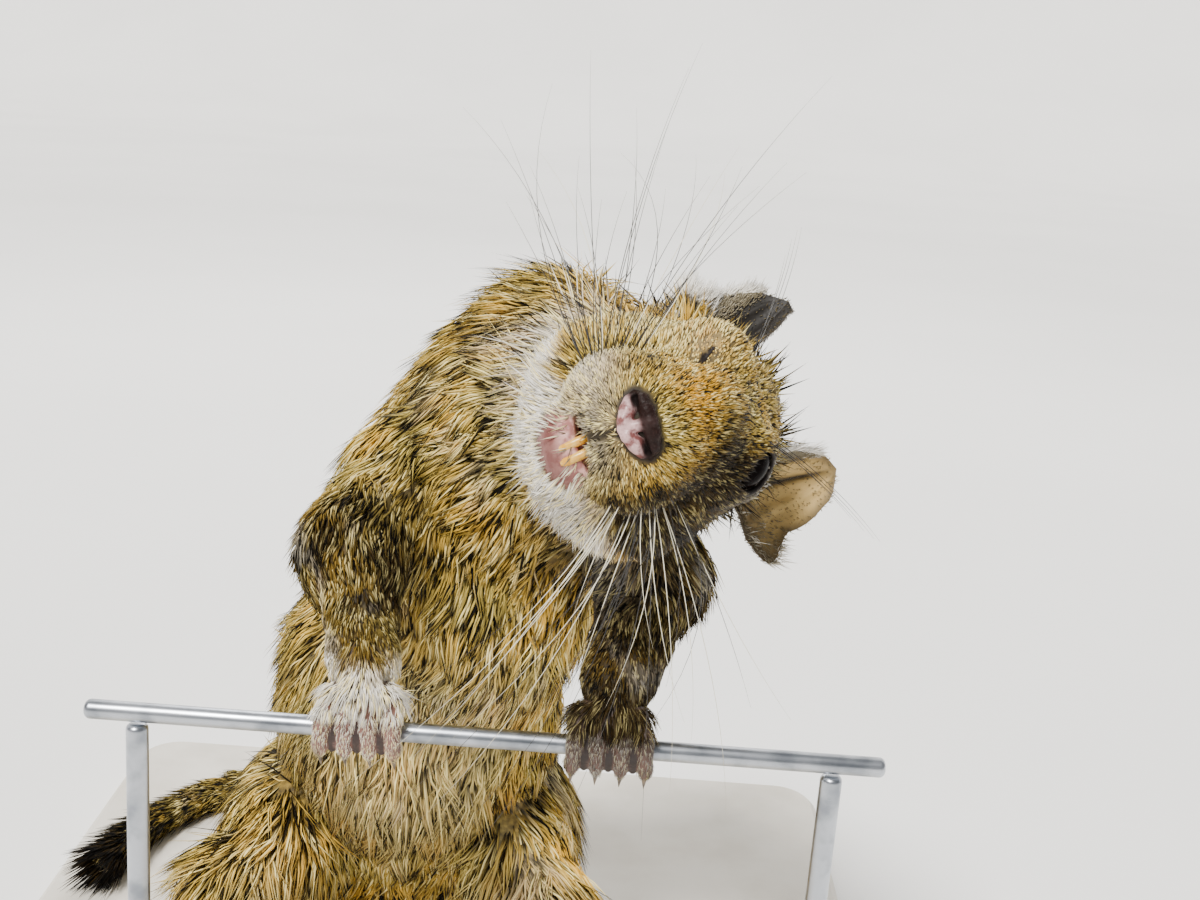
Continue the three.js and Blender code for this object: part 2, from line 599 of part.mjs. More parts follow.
function makeFoot(side) {
  const heel = legSide(HEEL, side);
  const turn = side * FOOT.turnOut;
  const ahead = [Math.sin(turn), -Math.cos(turn)];
  const height = GROUND + FOOT.height / 2;
  const ball = [heel[0] + ahead[0] * FOOT.sole, heel[1] + ahead[1] * FOOT.sole, height];
  const form = melted([
    bone([heel[0], heel[1], GROUND + FOOT.height / 2], ball, FOOT.height * 0.52, FOOT.height * 0.46),
    lump({ at: ball, size: [FOOT.width / 2, FOOT.width / 2, FOOT.height / 2] }),
  ], 2);
  const footShape = { sides: 12, steps: 4, capSteps: 3 };
  let foot = wrapped(form, vector([heel[0], heel[1], height]), vector(ball), footShape);
  for (let index = 0; index < TOES.count; index += 1) {
    const across = (index - (TOES.count - 1) / 2) * TOES.spread;
    const length = TOES.length * (index === 0 || index === TOES.count - 1 ? 0.82 : 1);
    const place = (out, rise, wide) => [
      ball[0] + ahead[0] * out - ahead[1] * across * wide,
      ball[1] + ahead[1] * out + ahead[0] * across * wide,
      GROUND + rise,
    ];
    const path = [
      place(-1, TOES.radius + 0.6, 0.8),
      place(length * 0.45, TOES.radius + 1.4, 1.1),
      place(length * 0.8, TOES.radius + 0.5, 1.25),
      place(length, TOES.tip + 0.1, 1.3),
    ];
    const radiusAt = (part) => THREE.MathUtils.lerp(TOES.radius, TOES.tip, part);
    foot = foot.add(tapered(path, radiusAt, { sides: 6, steps: 4 }));
    foot = foot.add(clawAt(path, [0, 0, 0.2]));
  }
  return foot;
}

// Tail
const tailCurve = new THREE.CatmullRomCurve3(TAIL_PATH.map(vector));
const tailRadius = (part) => THREE.MathUtils.lerp(TAIL.rootRadius, TAIL.endRadius, part ** 0.7);

function tailLength(start, end) {
  const margin = GAP / 2 / tailCurve.getLength();
  return taperedAlong(tailCurve, tailRadius, {
    sides: TAIL.sides,
    steps: 6,
    flatFacing: [0, 0, 1],
    first: start === 0 ? 0 : start + margin,
    last: end - margin,
  });
}

function makeTail(rooms) {
  const lengths = [];
  for (let index = 0; index < TAIL.lengths; index += 1) {
    const piece = tailLength(index / TAIL.lengths, (index + 1) / TAIL.lengths);
    lengths.push(index === 0 ? clearOf(piece, rooms) : piece);
  }
  return lengths;
}

function makeBrush() {
  const random = randomFrom(BRUSH.seed);
  const end = tailCurve.getPointAt(1);
  const way = tailCurve.getTangentAt(1);
  const across = awayFrom(way);
  const third = new THREE.Vector3().crossVectors(way, across);
  const along = (out, angle, lift) => end.clone().addScaledVector(way, out)
    .addScaledVector(across, Math.cos(angle) * lift).addScaledVector(third, Math.sin(angle) * lift).toArray();
  const coreEnd = BRUSH.length * BRUSH.core;
  const core = [along(GAP, 0, 0), along(coreEnd / 2, 0, 0), along(coreEnd, 0, 0)];
  let brush = tapered(core, (part) => TAIL.endRadius * (1 - 0.6 * part), { sides: 10, steps: 4 });
  for (let index = 0; index < BRUSH.locks; index += 1) {
    const angle = index * GOLDEN_ANGLE;
    const start = 1.6 + (index / BRUSH.locks) * coreEnd * 0.75;
    const length = BRUSH.length * (0.62 + 0.3 * random());
    const lift = length * BRUSH.spread * (0.45 + 0.4 * random());
    const path = [along(start, angle, 0.9), along(start + length * 0.45, angle, 1.6 + lift * 0.5),
      along(start + length, angle + 0.2, lift)];
    const radiusAt = (part) => Math.max((BRUSH.width / 2) * (1 - part ** 2), 0.3);
    const facing = along(0, angle, 1).map((value, axis) => value - end.getComponent(axis));
    brush = brush.add(tapered(path, radiusAt, {
      sides: 4, steps: 3, flatness: BRUSH.thickness / BRUSH.width, flatFacing: facing,
    }));
  }
  return biggest(brush.intersect(block([0, 0, GROUND], [0, 0, 1], 0)));
}

function randomFrom(seed) {
  let state = seed;
  return () => {
    state = (state * 1664525 + 1013904223) % 4294967296;
    return state / 4294967296;
  };
}

// The stand
function makeBar(grow = 0) {
  const radius = BAR.diameter / 2 + grow;
  const geometry = new THREE.CylinderGeometry(radius, radius, BAR.length, 20);
  geometry.rotateZ(Math.PI / 2);
  geometry.translate(0, 0, BAR.z);
  return solid(geometry);
}

function makeRod() {
  const top = BAR.z - BAR.diameter / 2 - GAP;
  const geometry = new THREE.CylinderGeometry(ROD.diameter / 2, ROD.diameter / 2, top - GROUND, 20);
  geometry.rotateX(Math.PI / 2);
  geometry.translate(0, 0, (top + GROUND) / 2);
  return solid(geometry);
}

function makeBase() {
  const { width, depth, height, corner, edge } = BASE;
  const halfWidth = width / 2 - edge;
  const halfDepth = depth / 2 - edge;
  const radius = corner - edge;
  const outline = new THREE.Shape();
  outline.absarc(halfWidth - radius, halfDepth - radius, radius, 0, Math.PI / 2);
  outline.absarc(-halfWidth + radius, halfDepth - radius, radius, Math.PI / 2, Math.PI);
  outline.absarc(-halfWidth + radius, -halfDepth + radius, radius, Math.PI, 1.5 * Math.PI);
  outline.absarc(halfWidth - radius, -halfDepth + radius, radius, 1.5 * Math.PI, 2 * Math.PI);
  const geometry = new THREE.ExtrudeGeometry(outline, {
    depth: height - 2 * edge,
    bevelSize: edge,
    bevelThickness: edge,
    bevelSegments: 1,
    curveSegments: 4,
  });
  geometry.translate(0, 0, edge);
  return solid(geometry);
}

// Finishes
function finish(color, roughness, metalness = 0) {
  return new THREE.MeshStandardMaterial({ color, roughness, metalness });
}

const COAT = finish("#a98a4e", 0.9);
const PALE_COAT = finish("#cfc3a6", 0.9);
const EAR_SKIN = finish("#6d5f52", 0.8);
const PINK_SKIN = finish("#b98982", 0.55);
const NOSE_SKIN = finish("#6b4a4d", 0.4);
const HAND_SKIN = finish("#6b5f57", 0.7);
const EYE_BLACK = finish("#0b0908", 0.1);
const ENAMEL = finish("#d89a2b", 0.35);
const BRUSH_BLACK = finish("#1d1a18", 0.9);
const STEEL = finish("#8f959b", 0.35, 0.9);
const BASE_BOARD = finish("#e7e2d8", 0.6);

function show(parent, name, form, material) {
  const made = form.getMesh();
  const geometry = new THREE.BufferGeometry();
  geometry.setAttribute("position", new THREE.BufferAttribute(new Float32Array(made.vertProperties), 3));
  geometry.setIndex(new THREE.BufferAttribute(new Uint32Array(made.triVerts), 1));
  const mesh = new THREE.Mesh(geometry, material);
  mesh.name = name;
  parent.add(mesh);
  return mesh;
}

function buildHead(animal) {
  const { head, jaw } = makeHead();
  show(animal, "head", head, COAT);
  show(animal, "lower_jaw", jaw, PALE_COAT);
  show(animal, "tongue", makeTongue(), PINK_SKIN);
  show(animal, "nose", makeNose(), NOSE_SKIN);
  for (const [side, name] of [[LEFT, "left"], [RIGHT, "right"]]) {
    show(animal, `eye_${name}`, makeEye(side), EYE_BLACK);
    show(animal, `incisor_${name}`, makeIncisor(side), ENAMEL);
  }
}

function buildAnimal(animal) {
  const rooms = bodyRooms();
  buildHead(animal);
  const earRooms = [headRoom()];
  show(animal, "ear_left", clearOf(makeEar(EAR_LEFT, LEFT), earRooms), EAR_SKIN);
  show(animal, "ear_right", clearOf(makeEar(EAR_RIGHT, RIGHT), earRooms), EAR_SKIN);
  show(animal, "neck", makeNeck(), COAT);
  for (const [name, form] of Object.entries(makeTrunk())) {
    show(animal, name, form, COAT);
  }
  for (const [side, name] of [[LEFT, "left"], [RIGHT, "right"]]) {
    const arm = makeArm(side, rooms);
    show(animal, `upper_arm_${name}`, arm.upper, COAT);
    show(animal, `forearm_${name}`, arm.fore, COAT);
    show(animal, `hand_${name}`, arm.hand, HAND_SKIN);
    const leg = makeLeg(side, rooms);
    show(animal, `thigh_${name}`, leg.thigh, COAT);
    show(animal, `shank_${name}`, leg.shank, COAT);
    show(animal, `foot_${name}`, leg.foot, HAND_SKIN);
  }
  makeTail(rooms).forEach((form, index) => show(animal, `tail_${index + 1}`, form, COAT));
  show(animal, "tail_brush", makeBrush(), BRUSH_BLACK);
}

function buildStand(group, animal) {
  show(group, "stand_base", makeBase(), BASE_BOARD);
  show(animal, "stand_perch", makeBar(), STEEL);
  for (const [side, name] of [[LEFT, "left"], [RIGHT, "right"]]) {
    show(animal, `stand_rod_${name}`, makeRod(), STEEL).position.x = side * ROD.x;
  }
}

const group = new THREE.Group();
const animal = new THREE.Group();
animal.position.set(BAR.x, BAR.y, 0);
group.add(animal);
buildAnimal(animal);
buildStand(group, animal);

export default group;
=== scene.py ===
import itertools
import math

import bpy
import numpy as np
from mathutils import Matrix, Vector
from mathutils.kdtree import KDTree


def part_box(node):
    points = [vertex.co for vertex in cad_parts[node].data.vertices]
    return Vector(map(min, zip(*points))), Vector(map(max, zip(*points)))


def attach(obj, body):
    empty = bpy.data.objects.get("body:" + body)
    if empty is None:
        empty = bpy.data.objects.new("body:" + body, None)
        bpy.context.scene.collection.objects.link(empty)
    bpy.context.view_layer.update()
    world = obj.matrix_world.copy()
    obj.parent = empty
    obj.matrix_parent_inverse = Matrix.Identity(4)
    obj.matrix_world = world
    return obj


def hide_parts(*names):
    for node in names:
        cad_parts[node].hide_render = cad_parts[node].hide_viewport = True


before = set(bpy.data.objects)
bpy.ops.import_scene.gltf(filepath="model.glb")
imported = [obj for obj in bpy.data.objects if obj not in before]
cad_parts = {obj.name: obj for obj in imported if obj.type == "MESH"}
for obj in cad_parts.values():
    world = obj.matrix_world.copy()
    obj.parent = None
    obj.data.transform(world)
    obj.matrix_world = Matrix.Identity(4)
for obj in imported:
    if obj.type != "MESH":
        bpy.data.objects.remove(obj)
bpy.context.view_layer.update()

# A life-size degu on its hind feet, with both hands on a level bar and its head tipped on one side.
# The animal's places are in millimetres from the bar's middle, X to the viewer's right, Y away, Z up.
MM = 0.001
BAR_LOW, BAR_HIGH = (np.array(corner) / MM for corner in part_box("stand_perch"))
BAR_MIDDLE = (BAR_LOW + BAR_HIGH) / 2
BAR_RADIUS = (BAR_HIGH[2] - BAR_LOW[2]) / 2
BAR_HEIGHT = BAR_MIDDLE[2]
ORIGIN = np.array([BAR_MIDDLE[0], BAR_MIDDLE[1], 0.0])
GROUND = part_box("stand_base")[1].z / MM
RIGHT, LEFT = -1, 1
RANDOM = np.random.default_rng(20)

# The head's own frame: X to the nose, Y to the animal's left, Z to the crown
HEAD_AHEAD = np.array([-0.0897, -0.9638, 0.2513])
HEAD_CROWN = np.array([0.943, -0.004, 0.321])
NOSE_TIP = np.array([16.8, -22.7, 130.5])
NOSE_REACH = 46

# Head forms, each a middle and three half sizes in the head's frame
SKULL = ([14, 0, 3.5], [19, 14.5, 14.5])
BROW = ([27, 0, 6], [12.5, 9, 7.5])
MUZZLE = ([33.5, 0, 0], [12, 9.4, 8.8])
MUZZLE_END = ([40.6, 0, -0.8], [5.2, 6.6, 6])
CHIN = ([31.5, 0, -9.8], [9.5, 5.8, 4.4])
THROAT = ([14, 0, -11], [15, 12, 8.5])
CHEEK = ([19, 8.5, -4], [13, 8.6, 10.5])
WHISKER_PAD = ([37, 4.8, -3.2], [6.6, 4.6, 4.8])
ORBIT = ([24.5, 6.6, 8.2], [7.5, 5.6, 5.8])

# Face details
EYE = {"at": [26, 6.1, 9.5], "radius": 4.1, "lid": 0.45, "facing": [0.5, 0.66, 0.56], "tilt": 0.35}
OPEN_LIDS = (3.5, 2.9)
# Where the right eye's closed lids meet, the crease in front of them and the dip they lie in
SHUT_LINE = [[34.4, -5.2, 7.3], [32.0, -6.0, 7.9], [30.9, -6.7, 8.8], [30.4, -7.4, 9.9]]
SHUT_RADII = [0.12, 0.28, 0.32, 0.12]
CREASE = [[38.9, -7.5, 2.9], [38.9, -6.9, 4.0], [38.8, -6.1, 5.0]]
CREASE_RADII = [0.12, 0.28, 0.12]
EYE_DIP = ([34.5, -9.2, 9.2], [6.5, 3.6, 4.6])
NOSE_RIM = [[44.9, 3.5, 0.1], [45.7, 2.6, 0.8], [46.4, 1.3, 1.15], [46.6, 0, 1.2]]
NOSE_RIM_RADII = [0.65, 0.8, 0.85, 0.85]
NOSE_LOBE = [[45.2, 2.9, -0.6], [45.9, 1.9, -1.0], [46.5, 0.9, -1.7]]
NOSE_BACK = ([44.6, 0, -0.3], [1.4, 3.7, 1.9])
NOSE_BED = ([43.8, 0, -0.2], [2.6, 3.9, 2.2])
SEPTUM = [[46.3, 0, 0.8], [46.4, 0, -2.0]]
NOSTRIL = [[47.2, 0.9, -0.3], [46.9, 1.9, 0.0], [46.0, 3.1, 0.1]]
NOSTRIL_RADII, NOSE_LOBE_RADII = [0.12, 0.28, 0.42], [0.8, 0.88, 0.75]
GROOVE, GROOVE_RADIUS = ([47.5, 0, 0.0], [47.2, 0, -2.6]), (0.25, 0.3)
CLEFT = ([46.6, 0, -2.2], [43.4, 0, -6.2], 0.42)
MOUTH_GAP = ([41, 0.4, -7.1], [4.2, 3.4, 0.65])
LOWER_LIP = ([37.8, 0.4, -9.9], [3.6, 4.7, 2.9])
BARE_LIP = ([38.6, 0.4, -9.5], [4.7, 4.8, 3.4])
INCISOR = {"root": [38.6, 0.8, -3.6], "tip": [41.2, 0.8, -10.2], "width": 1.2, "bow": 1.1, "lean": 1.2}
TONGUE = ([35.6, 0, -6.4], [6, 2.9, 1.15])
EAR = {"height": 18.5, "width": 13.5, "cup": 4, "thickness": 0.6, "sunk": 0.1}
# A fringe of 1 is on the rear edge, one of -1 on the front edge
EAR_LEFT = {
    "root": [9, 13, 9.4], "up": [-0.58, -0.11, 0.8], "open": [0.78, 0.08, 0.56],
    "fringe": -1, "dusk": 0.2,
}
# The right ear's high dark share is painted shade over its cup, on its hair; the left ear's is low.
EAR_RIGHT = {
    "root": [9, -10.8, 9.2], "up": [-0.62, -0.16, 0.77], "open": [0.62, -0.68, 0.38],
    "fringe": 1, "dusk": 0.95,
}
# Shares of half an ear's width at shares of its height: a plain front edge, and a lobe and notch behind
EAR_FRONT = [
    [0, 0.3], [0.2, 0.66], [0.4, 0.8], [0.55, 0.76], [0.71, 0.6], [0.82, 0.46], [0.93, 0.3], [1, 0],
]
EAR_REAR = [
    [0, 0.6], [0.1, 1.16], [0.2, 1.24], [0.29, 1.02], [0.37, 0.84], [0.46, 0.84], [0.6, 0.8], [0.75, 0.66],
    [0.9, 0.44], [1, 0],
]

# Markings in the head's frame, each a middle and three sizes, and one on the chest in the animal's own places
EYE_RING_RIGHT, EYE_RING_LEFT = ([29, -9, 9], [5, 4, 4]), ([22, 11, 12], [5, 4, 4])
THROAT_RIGHT, THROAT_LEFT = ([8, -14, -9], [9, 8, 7]), ([8, 12, -12], [8, 7, 6])
LONG_THROAT = ([6, -14, -8], [9, 8, 8])
MUZZLE_SIDE = ([41, -6.5, -4], [4.5, 4, 3])
UPPER_LIP = ([43.5, 0, -4.6], [4, 5, 3])
BRIDGE = ([41, -1.5, 6], [4.5, 4, 4])
DARK_BROW, DARK_CROWN = ([37, 3.5, 9], [5.5, 4.5, 4.5]), ([14, 0, 15], [14, 9, 8])
DARK_NAPE = ([0, -4, 12], [10, 10, 8])
DARK_CHEST = ([0, 16, 103], [14, 14, 10])
TICKED_BROW, PLAIN_CHEEK = ([30, 2, 11], [9, 7, 6]), ([20, -14, -2], [12, 8, 9])
# The right eye and cheek patches make tufts lighter: partly pale fur, partly painted light on the lit side.
LIGHT_EYE, LIGHT_CHEEK = ([30, -8, 9], [6, 5, 5]), ([25, -13, 1], [9, 6, 7])
CUFF_TOP, CUFF_END = 90.5, 87.5
DIGITS_TOP, DIGITS_END = 84.3, 82.8

# Trunk forms in the animal's own places
RUMP = ([-17, 66, 37], [27, 24, 26])
BELLY = ([-15, 53, 62], [26.5, 25, 31])
RIBS = ([-5, 42, 92], [22, 23.5, 30])
SHOULDERS = ([0, 37, 109], [21, 20, 20])
WITHERS = ([5, 42, 121], [16, 16, 19])
NAPE = ([2, 38, 113], [19, 22, 121], 18, 16.5)

# Limbs of the left side. X counts from the middle line that each name gives.
ARM_MIDDLE, LEG_MIDDLE = 0, -17
SHOULDER, ELBOW, WRIST, KNUCKLES = [16, 33, 107], [21.5, 17.5, 99], [17.4, 4.4, 88], [16.8, -0.6, 84.8]
ARM_RADII = (10.8, 8.2, 5.4, 4.1)
FINGERS = {"count": 4, "spread": 2.5, "radius": 1.05, "tip": 0.7, "curl": 2}
WEB = {"radius": 0.62, "sunk": 0.45}
HIP, KNEE, HEEL = [19, 60, 38], [25, 35, 33], [22, 66, 15]
THIGH = ([19, 52, 34], [11.5, 22, 18])
LEG_RADII = (11, 9.5, 5.6)
FOOT = {"sole": 24, "width": 9, "height": 6.4, "turn_out": 0.16}
TOES = {"count": 4, "spread": 2.5, "radius": 1.7, "tip": 1.1, "length": 12}
CLAW = {"length": 3.2, "radius": 0.55, "sink": 1.0, "steps": 7}
TAIL_PATH = [
    [-17, 84, 24], [-18, 96, 17], [-23, 105, 13.2], [-35, 111, 12], [-50, 110, 11.6],
    [-64, 102, 11.4], [-73, 89, 11.4], [-77, 75, 12],
]
TAIL_RADII = (5.4, 2.5)
BRUSH = {"hairs": 2600, "start": 0.62, "length": 11, "width": 0.42}


# Soft forms: each takes an array of points and gives rough distances, below zero inside

def lump(at, size):
    at, size = np.array(at, float), np.array(size, float)

    def value(points):
        local = (points - at) / size
        near = np.maximum(np.linalg.norm(local, axis=1), 1e-6)
        slope = np.maximum(np.linalg.norm(local / size, axis=1), 1e-6 / size.max())
        return near * (near - 1) / slope

    return value


def bone(start, end, start_radius, end_radius):
    start = np.array(start, float)
    along = np.array(end, float) - start

    def value(points):
        part = np.clip((points - start) @ along / (along @ along), 0, 1)
        off = np.linalg.norm(points - start - part[:, None] * along, axis=1)
        return off - (start_radius + (end_radius - start_radius) * part)

    return value


def bones(places, radii):
    return [bone(*part) for part in zip(places, places[1:], radii, radii[1:])]


def melt(one, other, softness):
    overlap = np.maximum(softness - np.abs(one - other), 0) / softness
    return np.minimum(one, other) - overlap * overlap * softness / 4


def melted(forms, softness):
    def value(points):
        nearest = forms[0](points)
        for form in forms[1:]:
            nearest = melt(nearest, form(points), softness)
        return nearest

    return value


def carved(form, tool, softness):
    """A form with a softly edged hollow where the tool form is."""
    return lambda points: -melt(-form(points), tool(points), softness)


def sided(place, side, middle=0):
    return [middle + side * place[0], place[1], place[2]]


def mirrored(place, side):
    return [place[0], side * place[1], place[2]]


def unit(vectors):
    return vectors / np.maximum(np.linalg.norm(vectors, axis=-1, keepdims=True), 1e-9)


def smooth(low, high, values):
    part = np.clip((values - low) / (high - low), 0, 1)
    return part * part * (3 - 2 * part)


def spline(points, steps):
    """Points along a smooth curve through the given ones, at even shares of each span."""
    points = np.array(points, float)
    padded = np.vstack([2 * points[0] - points[1], points, 2 * points[-1] - points[-2]])
    made = []
    for first in range(len(points) - 1):
        a, b, c, d = padded[first:first + 4]
        for t in np.arange(steps) / steps:
            line = 2 * b + (c - a) * t + (2 * a - 5 * b + 4 * c - d) * t * t
            made.append((line + (3 * b - a - 3 * c + d) * t ** 3) / 2)
    made.append(points[-1])
    return np.array(made)


# The head's frame as a matrix whose rows are its axes

def head_axes():
    ahead = unit(HEAD_AHEAD)
    crown = unit(HEAD_CROWN - HEAD_CROWN @ ahead * ahead)
    return np.array([ahead, np.cross(crown, ahead), crown])


HEAD_AXES = head_axes()
HEAD_ORIGIN = NOSE_TIP - NOSE_REACH * HEAD_AXES[0]


def to_head(points):
    return (np.asarray(points, float) - HEAD_ORIGIN) @ HEAD_AXES.T


def from_head(points):
    return np.asarray(points, float) @ HEAD_AXES + HEAD_ORIGIN


def in_head(form):
    return lambda points: form(to_head(points))


def both_sides(part):
    return [lump(mirrored(part[0], side), part[1]) for side in (RIGHT, LEFT)]


# The animal's outline, out to the tips of its coat

def arm_places(side):
    return [sided(place, side, ARM_MIDDLE) for place in (SHOULDER, ELBOW, WRIST, KNUCKLES)]


def leg_places(side):
    return [sided(place, side, LEG_MIDDLE) for place in (HIP, KNEE, HEEL)]


def leg_form(side):
    thigh = lump(sided(THIGH[0], side, LEG_MIDDLE), THIGH[1])
    return melted([thigh, *bones(leg_places(side), LEG_RADII)], 6)


def tail_radius(part):
    return TAIL_RADII[0] + (TAIL_RADII[1] - TAIL_RADII[0]) * np.minimum(1, part ** 0.7)


TAIL_LINE = spline(TAIL_PATH, 3)
HEAD_LUMPS = [lump(*part) for part in (SKULL, BROW, MUZZLE, MUZZLE_END, CHIN, THROAT)]
for pair in (CHEEK, WHISKER_PAD, ORBIT):
    HEAD_LUMPS += both_sides(pair)
head_form = in_head(melted(HEAD_LUMPS, 4))
trunk_form = melted([lump(*part) for part in (RUMP, BELLY, RIBS, SHOULDERS, WITHERS)], 10)
torso_form = melted([trunk_form, bone(*NAPE)], 10)
arm_forms = [melted(bones(arm_places(side), ARM_RADII), 4) for side in (RIGHT, LEFT)]
leg_forms = [leg_form(side) for side in (RIGHT, LEFT)]
tail_line_form = melted(bones(TAIL_LINE, tail_radius(np.linspace(0, 1, len(TAIL_LINE)))), 1)
body_form = melted([torso_form, melted(arm_forms + leg_forms + [tail_line_form], 3)], 5)
outline_form = melted([body_form, head_form], 8)


# How deep the coat lies over the skin

HEAD_STATIONS = [-8, 4, 14, 24, 34, 42]
COAT_DEPTHS = [3.4, 3.0, 2.3, 1.6, 0.9, 0.4]


def closest(forms, points):
    return np.min([form(points) for form in forms], axis=0)


forearms = [bone(*arm_places(side)[1:3], 0, 0) for side in (RIGHT, LEFT)]
hands = [bone(*arm_places(side)[2:4], 0, 0) for side in (RIGHT, LEFT)]
heels = [lump(leg_places(side)[2], [1, 1, 1]) for side in (RIGHT, LEFT)]


def coat_depth(points):
    depth = np.interp(to_head(points)[:, 0], HEAD_STATIONS, COAT_DEPTHS)
    depth = depth * (0.42 + 0.58 * smooth(6, 16, closest(forearms, points)))
    depth = depth * (0.3 + 0.7 * smooth(4, 12, closest(hands, points)))
    depth = depth * (0.2 + 0.8 * smooth(7, 25, closest(heels, points)))
    return depth * (0.12 + 0.88 * smooth(0, 9, tail_line_form(points)))


def skin_form(points):
    return outline_form(points) + coat_depth(points)


# A form's surface as a closed mesh of quads, one point in each grid cell that the surface crosses

CORNERS = list(itertools.product((0, 1), repeat=3))


def slope_of(form, points, step=0.12):
    """The direction in which a form's distance grows, by differences."""
    slope = np.empty_like(points)
    for axis in range(3):
        nudge = np.zeros(3)
        nudge[axis] = step
        slope[:, axis] = (form(points + nudge) - form(points - nudge)) / (2 * step)
    return slope


def grid_values(form, axes, step, coarse=4):
    """A form's values on a grid: worked out near its surface, and only roughly elsewhere."""
    rough = np.stack(np.meshgrid(*(axis[::coarse] for axis in axes), indexing="ij"), -1)
    values = form(rough.reshape(-1, 3)).reshape(rough.shape[:3])
    for axis in range(3):
        values = np.repeat(values, coarse, axis)
    values = values[:len(axes[0]), :len(axes[1]), :len(axes[2])].copy()
    near = np.argwhere(np.abs(values) < coarse * step * 2)
    points = np.stack([axes[axis][near[:, axis]] for axis in range(3)], 1)
    values[tuple(near.T)] = form(points)
    return values


def cell_points(values, low, step):
    """The mean of the places where the surface crosses each cell's edges."""
    cells = np.array(values.shape) - 1
    corner = {c: values[c[0]:cells[0] + c[0], c[1]:cells[1] + c[1], c[2]:cells[2] + c[2]] for c in CORNERS}
    below = sum((corner[c] < 0).astype(int) for c in CORNERS)
    where = np.argwhere((below > 0) & (below < 8))
    at = tuple(where.T)
    corner = {c: corner[c][at] for c in CORNERS}
    total, count = np.zeros((len(where), 3)), np.zeros(len(where))
    for a, b in itertools.combinations(CORNERS, 2):
        if sum(abs(i - j) for i, j in zip(a, b)) == 1:
            differs = (corner[a] < 0) != (corner[b] < 0)
            part = corner[a] / np.where(differs, corner[a] - corner[b], 1)
            place = np.array(a) + part[:, None] * (np.array(b) - np.array(a))
            total += np.where(differs[:, None], place, 0)
            count += differs
    number = np.full(cells, -1)
    number[at] = np.arange(len(where))
    return low + step * (where + total / count[:, None]), number


def net_faces(values, number):
    """A quad for each grid edge that the surface crosses, joining the four cells round it."""
    faces = []
    for axis in range(3):
        one, two = (axis + 1) % 3, (axis + 2) % 3
        here, there = [slice(1, -1)] * 3, [slice(1, -1)] * 3
        here[axis], there[axis] = slice(0, -1), slice(1, None)
        first, second = values[tuple(here)] < 0, values[tuple(there)] < 0
        edges = np.argwhere(first != second)
        inward = first[first != second]
        edges[:, [one, two]] += 1
        around = []
        for back_one, back_two in ((1, 1), (0, 1), (0, 0), (1, 0)):
            cell = edges.copy()
            cell[:, one] -= back_one
            cell[:, two] -= back_two
            around.append(number[tuple(cell.T)])
        quads = np.stack(around, 1)
        quads[~inward] = quads[~inward][:, ::-1]
        faces.append(quads)
    return np.vstack(faces)


def surface_net(form, low, high, step, settle=2):
    low, high = np.array(low, float), np.array(high, float)
    counts = np.ceil((high - low) / step).astype(int) + 1
    axes = [low[axis] + step * np.arange(counts[axis]) for axis in range(3)]
    values = grid_values(form, axes, step)
    points, number = cell_points(values, low, step)
    for _ in range(settle):
        slope = slope_of(form, points)
        size = np.maximum((slope * slope).sum(1), 0.1)
        points = points - np.clip(form(points) / size, -step / 2, step / 2)[:, None] * slope
    return points, net_faces(values, number)


def head_box(low, high, margin=1.0):
    """The upright box round a box given in the head's frame."""
    corners = from_head([[(low, high)[c[axis]][axis] for axis in range(3)] for c in CORNERS])
    return corners.min(0) - margin, corners.max(0) + margin


def joined(parts):
    """Several sets of points and faces as one."""
    points, faces, first = [], [], 0
    for part_points, part_faces in parts:
        points.append(part_points)
        faces.append(np.asarray(part_faces) + first)
        first += len(part_points)
    return np.vstack(points), np.vstack(faces)


def make_object(name, points, faces, material=None, shade_smooth=True):
    """A mesh object from the animal's millimetre points and faces of one size."""
    mesh = bpy.data.meshes.new(name)
    faces = np.asarray(faces)
    mesh.vertices.add(len(points))
    mesh.vertices.foreach_set("co", ((np.asarray(points) + ORIGIN) * MM).astype(np.float32).ravel())
    mesh.loops.add(faces.size)
    mesh.loops.foreach_set("vertex_index", faces.astype(np.int32).ravel())
    mesh.polygons.add(len(faces))
    mesh.polygons.foreach_set("loop_start", np.arange(0, faces.size, faces.shape[1], dtype=np.int32))
    mesh.polygons.foreach_set("use_smooth", np.full(len(faces), shade_smooth))
    mesh.update(calc_edges=True)
    made = bpy.data.objects.new(name, mesh)
    bpy.context.scene.collection.objects.link(made)
    if material:
        mesh.materials.append(material)
    return made


def set_attribute(piece, name, values):
    attribute = piece.data.attributes.new(name, "FLOAT", "POINT")
    attribute.data.foreach_set("value", np.asarray(values, np.float32))


def tubes(paths, radii, sides, flat=None):
    """Closed tapering tubes along paths of equal length: paths are n by k by 3, radii n by k."""
    paths, radii = np.asarray(paths, float), np.asarray(radii, float)
    count, length = paths.shape[:2]
    ahead = unit(np.gradient(paths, axis=1))
    helper = np.where(np.abs(ahead[:, :1, 2:3]) < 0.8, [0, 0, 1.0], [0, 1.0, 0])
    if flat is not None:
        helper = flat[:, None, :]
    across = unit(np.cross(ahead, np.broadcast_to(helper, ahead.shape)))
    over = np.cross(across, ahead)
    angle = np.arange(sides) / sides * 2 * math.pi
    ring = (np.cos(angle)[:, None] * across[:, :, None, :] + np.sin(angle)[:, None] * over[:, :, None, :])
    rings = paths[:, :, None, :] + radii[:, :, None, None] * ring
    points = np.concatenate([rings.reshape(count, -1, 3), paths[:, :1], paths[:, -1:]], 1)
    each = points.shape[1]
    faces = []
    for step in range(length - 1):
        for side in range(sides):
            a, b = step * sides + side, step * sides + (side + 1) % sides
            faces += [(a, b, b + sides), (a, b + sides, a + sides)]
    last = (length - 1) * sides
    for side in range(sides):
        after = (side + 1) % sides
        faces += [(each - 2, after, side), (each - 1, last + side, last + after)]
    faces = np.array(faces)[:, ::-1]
    offsets = np.arange(count)[:, None, None] * each
    return points.reshape(-1, 3), (faces[None] + offsets).reshape(-1, 3)


# Maths and nodes for the finishes

